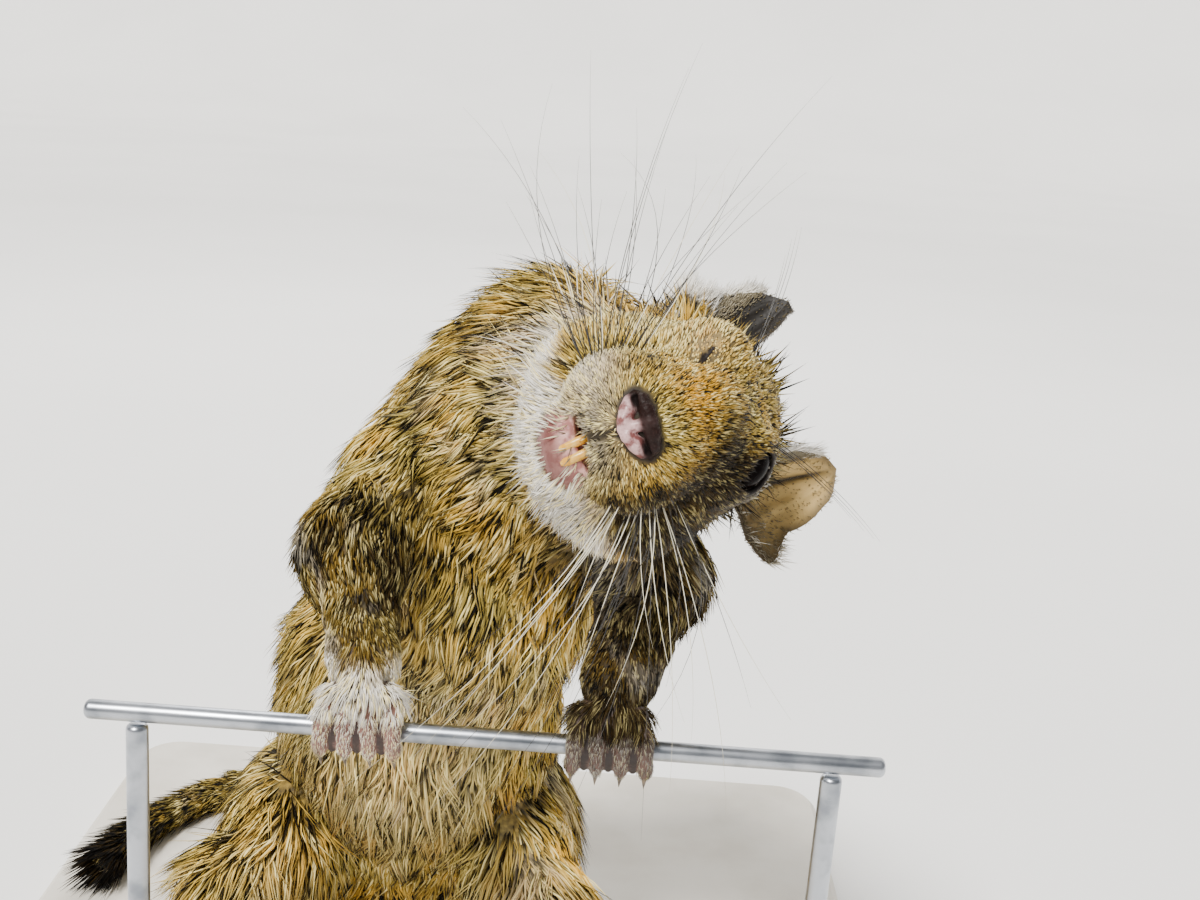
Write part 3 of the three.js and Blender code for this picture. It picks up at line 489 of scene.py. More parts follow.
class Value:
    """One socket of a finish. Its operators add Math nodes."""

    def __init__(self, finish, socket):
        self.finish, self.socket = finish, socket

    def maths(self, operation, *others):
        return self.finish.node("ShaderNodeMath", {"operation": operation}, [self, *others])

    def __add__(self, other):
        return self.maths("ADD", other)

    def __sub__(self, other):
        return self.maths("SUBTRACT", other)

    def __mul__(self, other):
        return self.maths("MULTIPLY", other)

    def __rsub__(self, other):
        return self.finish.node("ShaderNodeMath", {"operation": "SUBTRACT"}, [other, self])

    def __pow__(self, other):
        return self.maths("POWER", other)

    __radd__, __rmul__ = __add__, __mul__

    def between(self, low, high):
        """0 below the low value, 1 above the high one, and smooth between them."""
        settings = {"interpolation_type": "SMOOTHSTEP"}
        return self.finish.node("ShaderNodeMapRange", settings, [self, low, high, 0.0, 1.0])


class Finish:
    """A material that is built from expressions."""

    def __init__(self, name, **constants):
        self.material = bpy.data.materials.new(name)
        self.material.use_nodes = True
        self.tree = self.material.node_tree
        self.shader = self.tree.nodes["Principled BSDF"]
        for socket, value in constants.items():
            self.shader.inputs[socket.replace("_", " ")].default_value = value

    def node(self, kind, settings=None, inputs=(), output=0):
        made = self.tree.nodes.new(kind)
        for name, value in (settings or {}).items():
            setattr(made, name, value)
        pairs = inputs.items() if isinstance(inputs, dict) else enumerate(inputs)
        for key, value in pairs:
            self.connect(value, made.inputs[key])
        return Value(self, made.outputs[output])

    def connect(self, value, socket):
        if isinstance(value, Value):
            self.tree.links.new(value.socket, socket)
        else:
            socket.default_value = value

    def attribute(self, name):
        return self.node("ShaderNodeAttribute", {"attribute_name": name}, output="Fac")

    def place(self):
        return self.node("ShaderNodeTexCoord", output="Object")

    def noise(self, scale, detail=3.0, place=None):
        inputs = {"Vector": place or self.place(), "Scale": scale, "Detail": detail}
        return self.node("ShaderNodeTexNoise", {}, inputs)

    def mix(self, one, other, share):
        settings = {"data_type": "RGBA"}
        return self.node("ShaderNodeMix", settings, {0: share, 6: one, 7: other}, output=2)

    def shade(self, colour, amount):
        """A colour made darker or lighter by a factor."""
        return self.node("ShaderNodeVectorMath", {"operation": "SCALE"}, {0: colour, "Scale": amount})

    def bump(self, height, strength, distance):
        inputs = {"Height": height, "Strength": strength, "Distance": distance}
        return self.node("ShaderNodeBump", {}, inputs)

    def finish(self, **links):
        for socket, value in links.items():
            self.connect(value, self.shader.inputs[socket.replace("_", " ")])
        return self.material


def colour(code):
    """A colour in the shader's own linear values from a plain web code."""
    parts = [int(code[start:start + 2], 16) / 255 for start in (1, 3, 5)]
    return (*[part / 12.92 if part < 0.04045 else ((part + 0.055) / 1.055) ** 2.4 for part in parts], 1.0)


def coat_colours(finish, along):
    """The coat's colours from root to tip, from the marking attributes that skin and coat share."""
    warm, dusk = finish.attribute("warm"), finish.attribute("dusk")
    pale, grey = finish.attribute("pale"), finish.attribute("grey")
    chance, tick = finish.attribute("chance"), finish.attribute("tick")
    middle = finish.mix(colour("#ccb45c"), colour("#f4b52a"), warm)
    middle = finish.mix(middle, colour("#a3977e"), grey)
    middle = finish.mix(middle, colour("#33250a"), dusk)
    middle = finish.mix(middle, colour("#fffaf0"), pale)
    middle = finish.mix(middle, colour("#fbe9a2"), chance.between(0.6, 0.85) * (0.9 - dusk * 0.65))
    middle = finish.mix(middle, colour("#0c0803"), (1 - chance.between(0.1, 0.3)) * (1 - pale * 0.85))
    # The near-black roots are partly dark underfur and partly painted shade deep in the coat.
    root = finish.mix(colour("#191207"), colour("#8a7c5c"), grey)
    root = finish.mix(root, colour("#b3a88f"), pale)
    tip = finish.mix(finish.shade(middle, 1.15), colour("#080503"), tick)
    shown = finish.mix(root, middle, along.between(0.12, 0.45))
    shown = finish.mix(shown, tip, along.between(0.55, 0.8))
    return finish.shade(shown, chance * 0.3 + 0.85)


def coat_finish():
    finish = Finish("coat fur", Roughness=0.62, Specular_IOR_Level=0.14)
    return finish.finish(Base_Color=coat_colours(finish, finish.attribute("along")))


def skin_finish():
    finish = Finish("furred skin", Roughness=0.6, Specular_IOR_Level=0.25)
    # The skin takes the roots' colours, dark underfur with painted shade, where it shows between tufts.
    under = coat_colours(finish, finish.noise(900.0) * 0.25 + 0.1)
    bare, rim = finish.attribute("bare"), finish.attribute("rim")
    mottle = finish.noise(800.0, 6.0)
    pink = finish.mix(colour("#d9a69b"), colour("#9c6762"), mottle.between(0.42, 0.62))
    pink = finish.mix(pink, colour("#6b403c"), finish.attribute("mauve"))
    shown = finish.mix(under, pink, bare)
    shown = finish.mix(shown, colour("#1a1210"), rim)
    height = finish.noise(1400.0, 4.0)
    return finish.finish(
        Base_Color=shown,
        Roughness=0.62 - bare * 0.25,
        Normal=finish.bump(height, 0.35, 0.0004),
    )


def nose_finish():
    finish = Finish("nose skin", Coat_Roughness=0.22, Specular_IOR_Level=0.12)
    crown, hollow = finish.attribute("crown"), finish.attribute("hollow")
    grain = finish.node("ShaderNodeTexVoronoi", {}, {"Vector": finish.place(), "Scale": 3000.0})
    mottle = finish.noise(900.0, 5.0)
    lobe = finish.mix(colour("#c9a3a2"), colour("#7a4a48"), mottle.between(0.42, 0.62))
    shown = finish.mix(lobe, colour("#1c0f0c"), crown)
    # Painted shade: the shallow nostrils are coloured near black, as deep ones would be in shadow.
    shown = finish.mix(shown, colour("#080303"), hollow)
    return finish.finish(
        Base_Color=finish.shade(shown, grain * 0.35 + 0.82),
        Roughness=0.4 + hollow * 0.4 + grain * 0.2,
        Coat_Weight=(1 - crown) * (1 - hollow) * 0.25,
        Normal=finish.bump(grain, 0.3, 0.0002),
    )


def hand_finish():
    finish = Finish("hand skin", Roughness=0.55)
    creases = finish.noise(900.0, 4.0)
    shown = finish.mix(colour("#8a6258"), colour("#5c3f38"), creases.between(0.4, 0.62))
    shown = finish.mix(shown, colour("#2a2015"), finish.attribute("dark"))
    shown = finish.mix(shown, colour("#a0766a"), finish.attribute("sole"))
    # Painted shade: near black on the webs between the fingers.
    shown = finish.mix(shown, colour("#150b09"), finish.attribute("gap"))
    return finish.finish(Base_Color=shown, Normal=finish.bump(creases, 0.4, 0.0004))


def ear_finish():
    finish = Finish("ear skin", Roughness=0.6)
    edge, inner, fold = finish.attribute("edge"), finish.attribute("inner"), finish.attribute("fold")
    veins = finish.noise(220.0, 6.0)
    open_side = inner * finish.attribute("rise").between(-0.1, 0.5)
    shown = finish.mix(colour("#5c4a2c"), colour("#c4a566"), open_side)
    shown = finish.mix(shown, colour("#3b2e1c"), edge.between(0.78, 0.99) * 0.75)
    # Painted shade: the inner folds are coloured near black where they would lie in shadow.
    shown = finish.mix(shown, colour("#150f08"), fold)
    # Painted shadow: near black over the cup where the shade share is set, on the right ear only.
    shown = finish.mix(shown, colour("#150e06"), finish.attribute("shade"))
    shown = finish.shade(shown, veins * 0.7 + 0.65)
    return finish.finish(Base_Color=shown, Normal=finish.bump(finish.noise(1500.0, 4.0), 0.3, 0.0003))


def plain_finish(name, one, other, scale, **constants):
    """A finish of two near colours, mottled, with a fine grain."""
    bump = constants.pop("bump", 0.15)
    finish = Finish(name, **constants)
    mottle = finish.noise(scale, 4.0)
    shown = finish.mix(colour(one), colour(other), mottle.between(0.35, 0.7))
    return finish.finish(Base_Color=shown, Normal=finish.bump(finish.noise(scale * 4, 3.0), bump, 0.0002))


def whisker_finish():
    finish = Finish("whiskers", Roughness=0.3)
    dark, along = finish.attribute("dark"), finish.attribute("along")
    shown = finish.mix(colour("#f2ead2"), colour("#1d1814"), dark)
    shown = finish.mix(shown, colour("#8d8474"), along.between(0.55, 1.0) * 0.5)
    return finish.finish(Base_Color=shown)


def steel_finish():
    finish = Finish("satin steel", Metallic=1.0)
    mapping = {"Vector": finish.place(), "Scale": (40.0, 900.0, 900.0)}
    stretched = finish.node("ShaderNodeMapping", {}, mapping)
    brushed = finish.noise(3.0, 5.0, stretched)
    wear = finish.noise(220.0, 3.0)
    shown = finish.mix(colour("#b9bdc4"), colour("#8b9098"), wear.between(0.4, 0.75))
    return finish.finish(
        Base_Color=shown,
        Roughness=brushed * 0.2 + 0.22,
        Normal=finish.bump(brushed, 0.12, 0.0001),
    )


# Markings, with some painted shade, as shares from 0 to 1 at any place on the animal

def ripple(points, size, seed):
    """Soft random values from about -1 to 1 that change over about the given size."""
    draw = np.random.default_rng(seed)
    total = np.zeros(len(points))
    for _ in range(7):
        wave = unit(draw.normal(size=3)) * 2 * math.pi / size * draw.uniform(0.5, 1.5)
        total += np.sin(points @ wave + draw.uniform(0, 2 * math.pi))
    return total / 3


def patch(places, at, size):
    """A soft round patch in the head's frame."""
    return np.exp(-(((places - np.array(at)) / np.array(size)) ** 2).sum(1))


def markings(points):
    head = to_head(points)
    x, y, z = head.T
    across, away, high = points.T
    on_head = smooth(2, 9, x) * smooth(5, 1, head_form(points))
    below = smooth(-6, -9.5, z + 0.9 * ripple(points, 5, 1)) * smooth(4, 14, x) * on_head
    eye_rings = 0.15 * patch(head, *EYE_RING_RIGHT) + 0.6 * patch(head, *EYE_RING_LEFT)
    throat = 0.9 * patch(head, *THROAT_RIGHT) + 0.3 * patch(head, *THROAT_LEFT)
    muzzle_side = 0.75 * patch(head, *MUZZLE_SIDE)
    low = smooth(CUFF_TOP, CUFF_END, high + 0.8 * ripple(points, 4, 5))
    right_hand, left_hand = (smooth(10, 7, hand(points)) * low for hand in hands)
    digits = smooth(DIGITS_TOP, DIGITS_END, high)
    sole = smooth(16, 8, closest(heels, points)) * 0.4
    belly = smooth(44, 22, away) * smooth(92, 60, high) * smooth(32, 12, np.abs(across + 14))
    pale = below + eye_rings + throat + muzzle_side + sole + 0.3 * belly
    pale += right_hand * (0.95 - 0.35 * digits) + left_hand * digits * 0.25
    pale += smooth(0.5, 1.2, ripple(points, 9, 2)) * 0.2 * (1 - on_head)
    brow = 0.9 * patch(head, *DARK_BROW) + 0.45 * patch(head, *DARK_CROWN)
    # Painted shade: the head's left side, which faces down, is darkened from the nose back and above the
    # chin.
    under = 0.95 * smooth(3, 8, y) * on_head * smooth(46, 42, x) * smooth(-9, -5, z)
    back = smooth(40, 68, away) * (1 - on_head) * 0.45
    nape = patch(head, *DARK_NAPE) * 0.4
    # The left arm under the head is darkened: partly dark fur, partly painted shadow.
    left_arm = 0.9 * smooth(7, 14, across) * smooth(38, 24, away) * smooth(68, 78, high) * (1 - on_head)
    right_arm = 0.75 * smooth(7, 14, -across) * smooth(30, 16, away) * smooth(68, 78, high) * (1 - on_head)
    chest = 0.4 * patch(points, *DARK_CHEST) * (1 - on_head)
    dusk = brow + under + back + nape + left_arm + right_arm + chest
    dusk += 0.2 * smooth(0.2, 1, ripple(points, 7, 3))
    dusk = dusk * (1 - right_hand) + left_hand * (0.8 - 0.3 * digits)
    warm = 0.25 + 0.9 * patch(head, *BRIDGE) + 0.25 * ripple(points, 10, 4)
    warm += 0.3 * on_head * smooth(2, 8, y) + 0.2 * smooth(0, 14, across) * (1 - on_head)
    warm -= 0.3 * belly
    grey = patch(head, *UPPER_LIP) * 1.3 + 0.4 * left_hand
    shares = {"pale": pale, "dusk": dusk, "warm": warm, "grey": grey}
    return {name: np.clip(share, 0, 1) for name, share in shares.items()}


# Eyes and lids

def eye_axes(side):
    """Along the lids, across them and outward, as rows in the head's frame."""
    outward = unit(np.array(mirrored(EYE["facing"], side), float))
    along = np.array([1, 0, -EYE["tilt"]])
    along = unit(along - outward @ along * outward)
    return np.array([along, np.cross(outward, along), outward])


def to_eye(places, side):
    return (places - np.array(mirrored(EYE["at"], side))) @ eye_axes(side).T


LID_RADIUS = EYE["radius"] + EYE["lid"]
lid_form = lump([0, 0, 0], [LID_RADIUS] * 3)
socket_form = lump([0, 0, 0], [EYE["radius"] + 0.12] * 3)
open_lids_form = lump([0, 0, LID_RADIUS], [*OPEN_LIDS, 2.6])
shut_line_form = melted(bones(np.array(SHUT_LINE), SHUT_RADII), 0.3)
crease_form = melted(bones(np.array(CREASE), CREASE_RADII), 0.3)

lower_lip_form, mouth_gap_form = lump(*LOWER_LIP), lump(*MOUTH_GAP)
lower_lip_middle = lump(LOWER_LIP[0], np.array(LOWER_LIP[1]) * 0.75 + [2, 0, 0])
LIP_HAIRS = 0.2
cleft_form = bone(CLEFT[0], CLEFT[1], CLEFT[2], CLEFT[2])
cleft_edge_form = bone(CLEFT[0], CLEFT[1], 0.6, 0.6)
nose_parts = [*bones(SEPTUM, [0.75, 0.65]), lump(*NOSE_BACK)]
for side in (RIGHT, LEFT):
    nose_parts += bones([mirrored(place, side) for place in NOSE_RIM], NOSE_RIM_RADII)
    nose_parts += bones([mirrored(place, side) for place in NOSE_LOBE], NOSE_LOBE_RADII)
nostril_forms = [
    melted(bones([mirrored(place, side) for place in NOSTRIL], NOSTRIL_RADII), 0.2)
    for side in (RIGHT, LEFT)
]
nose_form = melted(nose_parts, 0.45)
hollow_form = melted(nostril_forms, 0.1)
FACE_CUTS = ((shut_line_form, 0.5), (crease_form, 0.4), (mouth_gap_form, 0.8), (cleft_form, 0.7))
HEAD_SHELL_START = 6


def face_form(points):
    """The head's skin with its lids, lips and cleft, from just behind the ears to the nose."""
    places = to_head(points)
    value = -melt(-skin_form(points), lump(*EYE_DIP)(places), 2.5)
    for side in (RIGHT, LEFT):
        value = melt(value, lid_form(to_eye(places, side)), 2.2)
    for tool, softness in ((socket_form, 0.2), (open_lids_form, 0.5)):
        value = -melt(-value, tool(to_eye(places, LEFT)), softness)
    value = melt(value, lower_lip_form(places), 1.4)
    for tool, softness in FACE_CUTS:
        value = -melt(-value, tool(places), softness)
    value = -melt(-value, hollow_form(places) - 0.35, 0.2)
    return np.maximum(value, HEAD_SHELL_START - places[:, 0])


def trunk_shell_form(points):
    """The skin of all but the head: it runs on a little way inside the head's skin."""
    ahead = to_head(points)[:, 0]
    sunk = skin_form(points) + 1.2 * smooth(HEAD_SHELL_START - 2, HEAD_SHELL_START + 4, ahead)
    return np.maximum(sunk, ahead - HEAD_SHELL_START - 8)


# Hands and feet

def finger_path(side, index):
    """A finger leaves the knuckles, runs over the bar and bends down in front of it."""
    across = (index - (FINGERS["count"] - 1) / 2) * FINGERS["spread"]
    x, y, z = sided(KNUCKLES, side, ARM_MIDDLE)
    clear = BAR_RADIUS + 0.3 + FINGERS["radius"]
    fan = across * 0.28
    return spline([
        [x + across * 0.8, y + 2.2, z + 0.2],
        [x + across + fan * 0.5, -1.9, BAR_HEIGHT + clear + 0.8],
        [x + across + fan, -clear - 0.8, BAR_HEIGHT + 0.7],
        [x + across + fan * 1.1, -clear - 0.1, BAR_HEIGHT - FINGERS["curl"]],
    ], 3)


def web_path(side, index):
    """The skin between two fingers, nearer to the bar than they are."""
    middle = (finger_path(side, index) + finger_path(side, index + 1)) / 2
    return middle - WEB["sunk"] * unit((middle - [0, 0, BAR_HEIGHT]) * [0, 1, 1])


def web_form(side):
    parts = []
    for index in range(FINGERS["count"] - 1):
        path = web_path(side, index)
        parts += bones(path, [WEB["radius"]] * len(path))
    return melted(parts, 0.2)


def hand_form(side):
    wrist, knuckles = np.array(arm_places(side)[2]), np.array(arm_places(side)[3])
    way = unit(knuckles - wrist)
    parts = [
        bone(wrist - way * 5, wrist, 3.3, 3.1),
        bone(wrist, knuckles, 3.1, 2.7),
        lump(knuckles + [0, 0.6, 0.1], [4.9, 2.6, 2.2]),
        bone(knuckles + [-side * 4.6, 2.6, -0.6], knuckles + [-side * 5.3, 0.6, -1.6], 0.9, 0.7),
    ]
    for index in range(FINGERS["count"]):
        path = finger_path(side, index)
        knobs = 0.12 * np.cos(np.linspace(0, 4 * math.pi, len(path)))
        parts += bones(path, np.linspace(FINGERS["radius"], FINGERS["tip"], len(path)) + knobs)
        parts.append(lump(path[-2] + [0, 0.5, 0], [0.85, 0.75, 1.1]))
    return melted([melted(parts, 0.8), web_form(side)], 0.3)


def foot_frame(side):
    """The heel's foot, the ball, the way ahead and the way across."""
    heel = np.array(leg_places(side)[2])
    turn = side * FOOT["turn_out"]
    ahead = np.array([math.sin(turn), -math.cos(turn), 0])
    heel[2] = GROUND + FOOT["height"] / 2
    return heel, heel + ahead * FOOT["sole"], ahead, np.array([-ahead[1], ahead[0], 0])


def toe_path(side, index):
    _, ball, ahead, across_way = foot_frame(side)
    across = (index - (TOES["count"] - 1) / 2) * TOES["spread"]
    outer = index in (0, TOES["count"] - 1)
    length = TOES["length"] * (0.82 if outer else 1)

    def place(out, rise, wide):
        return [*(ball + ahead * out + across_way * across * wide)[:2], GROUND + rise]

    return spline([
        place(-1, TOES["radius"] + 0.6, 0.8),
        place(length * 0.45, TOES["radius"] + 1.2, 1.1),
        place(length * 0.8, TOES["radius"] + 0.3, 1.25),
        place(length, TOES["tip"] + 0.1, 1.3),
    ], 3)


def foot_form(side):
    heel, ball, ahead, _ = foot_frame(side)
    height = FOOT["height"]
    parts = [
        bone(heel, ball, height * 0.48, height * 0.38),
        bone(heel, leg_places(side)[2] - np.array([0, 2, -4]), height * 0.5, 4.0),
        lump(ball, [FOOT["width"] * 0.47, FOOT["width"] * 0.45, height * 0.42]),
    ]
    for index in range(TOES["count"]):
        path = toe_path(side, index)
        parts += bones(path, np.linspace(TOES["radius"], TOES["tip"], len(path)) * 0.85)
        parts.append(lump(path[-2] - [0, 0, 0.5], [1.0, 1.4, 0.8]))
    form = melted(parts, 1.0)
    return lambda points: np.maximum(form(points), GROUND + 0.1 - points[:, 2])


def claw_paths():
    paths = []
    for side in (RIGHT, LEFT):
        digits = [finger_path(side, index) for index in range(FINGERS["count"])]
        digits += [toe_path(side, index) for index in range(TOES["count"])]
        for path in digits:
            way = unit(path[-1] - path[-2])
            steps = np.linspace(-CLAW["sink"], CLAW["length"], CLAW["steps"])[:, None]
            bow = (np.clip(steps, 0, None) / CLAW["length"]) ** 2 * np.array([0, 0.7, -0.25])
            line = path[-1] + steps * way + bow
            line[:, 2] = np.maximum(line[:, 2], GROUND + 0.35)
            paths.append(line)
    return np.array(paths)


# Ears

def edge_share(rows, rise):
    """A smooth curve through an edge's rows, read at shares of the ear's height."""
    heights, shares = np.array(rows, float).T
    slopes = np.gradient(shares, heights)
    low = np.clip(np.searchsorted(heights, rise, side="right") - 1, 0, len(heights) - 2)
    span = heights[low + 1] - heights[low]
    t = (rise - heights[low]) / span
    start = (2 * t ** 3 - 3 * t ** 2 + 1) * shares[low] + (t ** 3 - 2 * t ** 2 + t) * span * slopes[low]
    end = (3 * t ** 2 - 2 * t ** 3) * shares[low + 1] + (t ** 3 - t ** 2) * span * slopes[low + 1]
    return np.maximum(start + end, 0)


def ear_mesh(ear, side, sides=84, rings=44):
    """A leaf pressed from a ball, cupped, with its front edge rolled and two low folds inside."""
    tall = unit(np.array(ear["up"], float))
    facing = np.array(ear["open"], float)
    facing = unit(facing - tall @ facing * tall)
    wide = np.cross(tall, facing)
    around = np.arange(sides) / sides * 2 * math.pi
    tilt = np.linspace(0, math.pi, rings + 1)[1:-1]
    tilt, around = np.meshgrid(tilt, around, indexing="ij")
    ball = np.stack([np.sin(tilt) * np.cos(around), np.sin(tilt) * np.sin(around), np.cos(tilt)], -1)
    ball = np.vstack([[0, 0, 1.0], *ball.reshape(-1, 3), [0, 0, -1.0]])
    across, deep, up = ball[:, 0], ball[:, 1], ball[:, 2]
    rise = (up + 1) / 2
    out = np.minimum(1, np.hypot(across, up))
    share = across / np.sqrt(np.maximum(1e-9, 1 - up * up)) * side
    half = np.where(share >= 0, edge_share(EAR_REAR, rise), edge_share(EAR_FRONT, rise)) * EAR["width"] / 2
    middle = smooth(0.05, 0.25, rise) * smooth(1, 0.75, rise)
    cup = -EAR["cup"] * (1 - out * out) * (1 - 0.35 * rise)
    roll = 1.3 * smooth(0.6, 1, -share) * middle
    ridge = 0.5 * np.exp(-((share - 0.3 - 0.2 * rise) / 0.12) ** 2) * middle
    fold = np.exp(-((share + 0.35 - 0.3 * rise) / 0.1) ** 2) * middle
    shell = np.sign(deep) * np.sqrt(np.abs(deep)) * EAR["thickness"] / 2 * (1.6 - 0.9 * rise)
    height = (rise - EAR["sunk"]) * EAR["height"]
    local = np.stack([share * side * half, height, cup + roll + ridge - 0.6 * fold + shell], 1)
    points = from_head(local @ np.array([wide, tall, facing]) + ear["root"])
    ring_starts = 1 + np.arange(rings - 2)[:, None] * sides
    step, after = np.arange(sides), (np.arange(sides) + 1) % sides
    a, b = (ring_starts + step).ravel(), (ring_starts + after).ravel()
    last = len(points) - 1
    faces = np.vstack([
        np.stack([a, a + sides, b + sides], 1), np.stack([a, b + sides, b], 1),
        np.stack([0 * step, 1 + step, 1 + after], 1),
        np.stack([0 * step + last, last - sides + after, last - sides + step], 1),
    ])
    inner = smooth(-0.1, 0.2, deep)
    return points, faces, {"edge": out, "inner": inner, "fold": fold * inner, "rise": rise}


# The lie of the coat

FLOW_LINES = [
    ([19, 22, 121], [2, 38, 113], 17), ([2, 38, 113], [-5, 42, 92], 20), ([-5, 42, 92], [-15, 53, 62], 23),
    ([-15, 53, 62], [-17, 66, 37], 25), ([-17, 66, 37], [-17, 86, 24], 18),
]
for side in (RIGHT, LEFT):
    FLOW_LINES += [(a, b, 6) for a, b in zip(arm_places(side), arm_places(side)[1:])]
    FLOW_LINES += [(a, b, 10) for a, b in zip(leg_places(side), leg_places(side)[1:])]
    FLOW_LINES.append((foot_frame(side)[0], foot_frame(side)[1], 3))
    for digit in range(FINGERS["count"]):
        finger, toe = finger_path(side, digit)[::3], toe_path(side, digit)[::3]
        FLOW_LINES += [(a, b, 1.5) for path in (finger, toe) for a, b in zip(path, path[1:])]
FLOW_LINES += [(a, b, 4) for a, b in zip(TAIL_LINE[::2], TAIL_LINE[2::2])]
FLOW_SOURCE = [53, 0, -2]


def lie_of_coat(points):
    """The way the hairs point before they are laid on the skin: away from the nose, then down the body."""
    total = np.zeros_like(points)
    for start, end, radius in FLOW_LINES:
        weight = np.exp(-bone(start, end, radius, radius)(points) / 3.0)
        total += weight[:, None] * unit(np.array(end, float) - np.array(start, float))
    places = to_head(points)
    from_nose = unit((places - FLOW_SOURCE) * [1, 1.15, 1.15]) @ HEAD_AXES
    share = (smooth(-4, 12, places[:, 0]) * smooth(13, 5, head_form(points)))[:, None]
    way = unit(total) * (1 - share) + from_nose * share
    stray = np.stack([ripple(points, 8, seed) for seed in (11, 12, 13)], 1)
    loose = 0.28 - 0.2 * smooth(10, 34, places[:, 0])
    droop = (0.12 + 1.1 * smooth(15, 7, closest(hands, points)))[:, None]
    return unit(way + stray * loose[:, None] + [0, 0, -1] * droop * (1 - share))


# Stations along the head, with the length, width, lift and number of the tufts at each
COAT_STATIONS = [-12, 0, 10, 20, 30, 38, 43, 47]
COAT_LENGTHS = [11.5, 8.5, 6.2, 4.8, 3.8, 2.9, 2.0, 1.1]
COAT_WIDTHS = [0.34, 0.33, 0.29, 0.25, 0.22, 0.19, 0.15, 0.12]
COAT_LIFTS = [13, 14, 14, 14, 16, 17, 16, 13]
COAT_NUMBERS = [2.66, 3.3, 4.85, 6.8, 9.5, 13.1, 19.4, 23]


def coat_sizes(points):
    """Length, width, lift in degrees and number for each square millimetre, of the tufts at each place."""
    places = to_head(points)
    length, width, lift, number = (
        np.interp(places[:, 0], COAT_STATIONS, row)
        for row in (COAT_LENGTHS, COAT_WIDTHS, COAT_LIFTS, COAT_NUMBERS))
    near_eye = np.min([np.linalg.norm(to_eye(places, side), axis=1) for side in (RIGHT, LEFT)], axis=0)
    chin = smooth(-7, -11, places[:, 2]) * smooth(20, 30, places[:, 0])
    length = length * (0.45 + 0.55 * smooth(4.8, 9, near_eye)) * (1 + 0.5 * chin)
    length *= 0.35 + 0.65 * smooth(0.5, 2.2, np.minimum(shut_line_form(places), crease_form(places)))
    length *= 1 + 0.7 * patch(places, *LONG_THROAT)
    arm, hand, heel = closest(forearms, points), closest(hands, points), closest(heels, points)
    tail = smooth(8, 1, tail_line_form(points))
    length *= (0.62 + 0.38 * smooth(8, 16, arm)) * (1 - 0.62 * tail)
    length *= (0.5 + 0.5 * smooth(5, 12, hand)) * (0.2 + 0.8 * smooth(6, 26, heel))
    fine = np.clip(smooth(14, 7, hand) * 0.7 + smooth(20, 6, heel) * 0.8 + tail * 0.4, 0, 1)
    width = width + (0.24 - width) * fine
    number = number + (7.5 - number) * fine * (width < 0.335)
    number *= 1 - 0.25 * smooth(50, 75, points[:, 1])
    return length, width, lift, number


def hand_sizes(points):
    """Fine hair on the back of a hand, shorter and thinner down the fingers."""
    digits = smooth(84.6, 83, points[:, 2])
    return 3.4 - 2.4 * digits, 0.18 - 0.1 * digits, 13 - 6 * digits, 10 + 2 * digits


def foot_sizes(points):
    """Short flat hair over a foot, a little longer at the ankle."""
    ankle = smooth(8, 15, points[:, 2] - GROUND)
    return 1.7 + 2.6 * ankle, 0.16 + 0.08 * ankle, 9 + 4 * ankle, 5.2 + 0.8 * ankle


def bare_places(points):
    """Where no tuft grows: nose, lips, the opening of the lids, under the hands and below the ground."""
    places = to_head(points)
    bare = (nose_form(places) < 0.08) | (lump(*NOSE_BED)(places) < 0)
    bare |= (lump(*BARE_LIP)(places) < 0) & (RANDOM.random(len(points)) > LIP_HAIRS)
    bare |= lower_lip_middle(places) < 0
    bare |= closest([web_form(side) for side in (RIGHT, LEFT)], points) < 0.15
    bare |= cleft_edge_form(places) < 0
    bare |= mouth_gap_form(places) < 0.3
    bare |= open_lids_form(to_eye(places, LEFT)) < 0.25
    bare |= (shut_line_form(places) < 0.16) | (crease_form(places) < 0.1)
    return bare | (points[:, 2] < GROUND + 0.4)


def skin_unwrap(piece):
    """The skin's own unwrap, which the coat's tufts share. Returns the place of each corner."""
    bpy.context.view_layer.objects.active = piece
    piece.select_set(True)
    piece.data.uv_layers.new(name="OFBake")
    bpy.ops.object.mode_set(mode="EDIT")
    bpy.ops.mesh.select_all(action="SELECT")
    bpy.ops.uv.smart_project(angle_limit=math.radians(75), island_margin=0.001)
    bpy.ops.object.mode_set(mode="OBJECT")
    piece.select_set(False)
    corners = np.zeros(len(piece.data.loops) * 2, np.float32)
    piece.data.uv_layers["OFBake"].data.foreach_get("uv", corners)
    return corners.reshape(len(piece.data.polygons), -1, 2)


def scatter(points, faces, corner_map, sizes_of):
    """Random roots on a shell, as many to each face as its size and place ask."""
    if faces.shape[1] == 3:
        faces, corner_map = faces[:, [0, 1, 2, 2]], corner_map[:, [0, 1, 2, 2]]
    corners = points[faces]
    across = np.cross(corners[:, 2] - corners[:, 0], corners[:, 3] - corners[:, 1])
    area = np.linalg.norm(across, axis=1) / 2
    count = RANDOM.poisson(area * sizes_of(corners.mean(1))[3])
    face = np.repeat(np.arange(len(faces)), count)
    u, v = RANDOM.random((2, len(face), 1))
    weights = [(1 - u) * (1 - v), u * (1 - v), u * v, (1 - u) * v]
    roots = sum(weight * corners[face, corner] for corner, weight in enumerate(weights))
    charts = sum(weight * corner_map[face, corner] for corner, weight in enumerate(weights))
    return roots, charts, unit(across[face])


def near_seed(places, seeds):
    tree = KDTree(len(seeds))
    for index, place in enumerate(seeds):
        tree.insert(place, index)
    tree.balance()
    return np.array([tree.find(place)[1] for place in places])


# Steps along a tuft and its width at each but the last, where it ends in a point
TUFT_STEPS, TUFT_WIDTHS = np.array([0, 0.45, 1]), np.array([0.85, 1])
TUFT_SHARES = np.append(np.repeat(TUFT_STEPS[:-1], 3), 1.0)
CLUMP_SIZE = 26


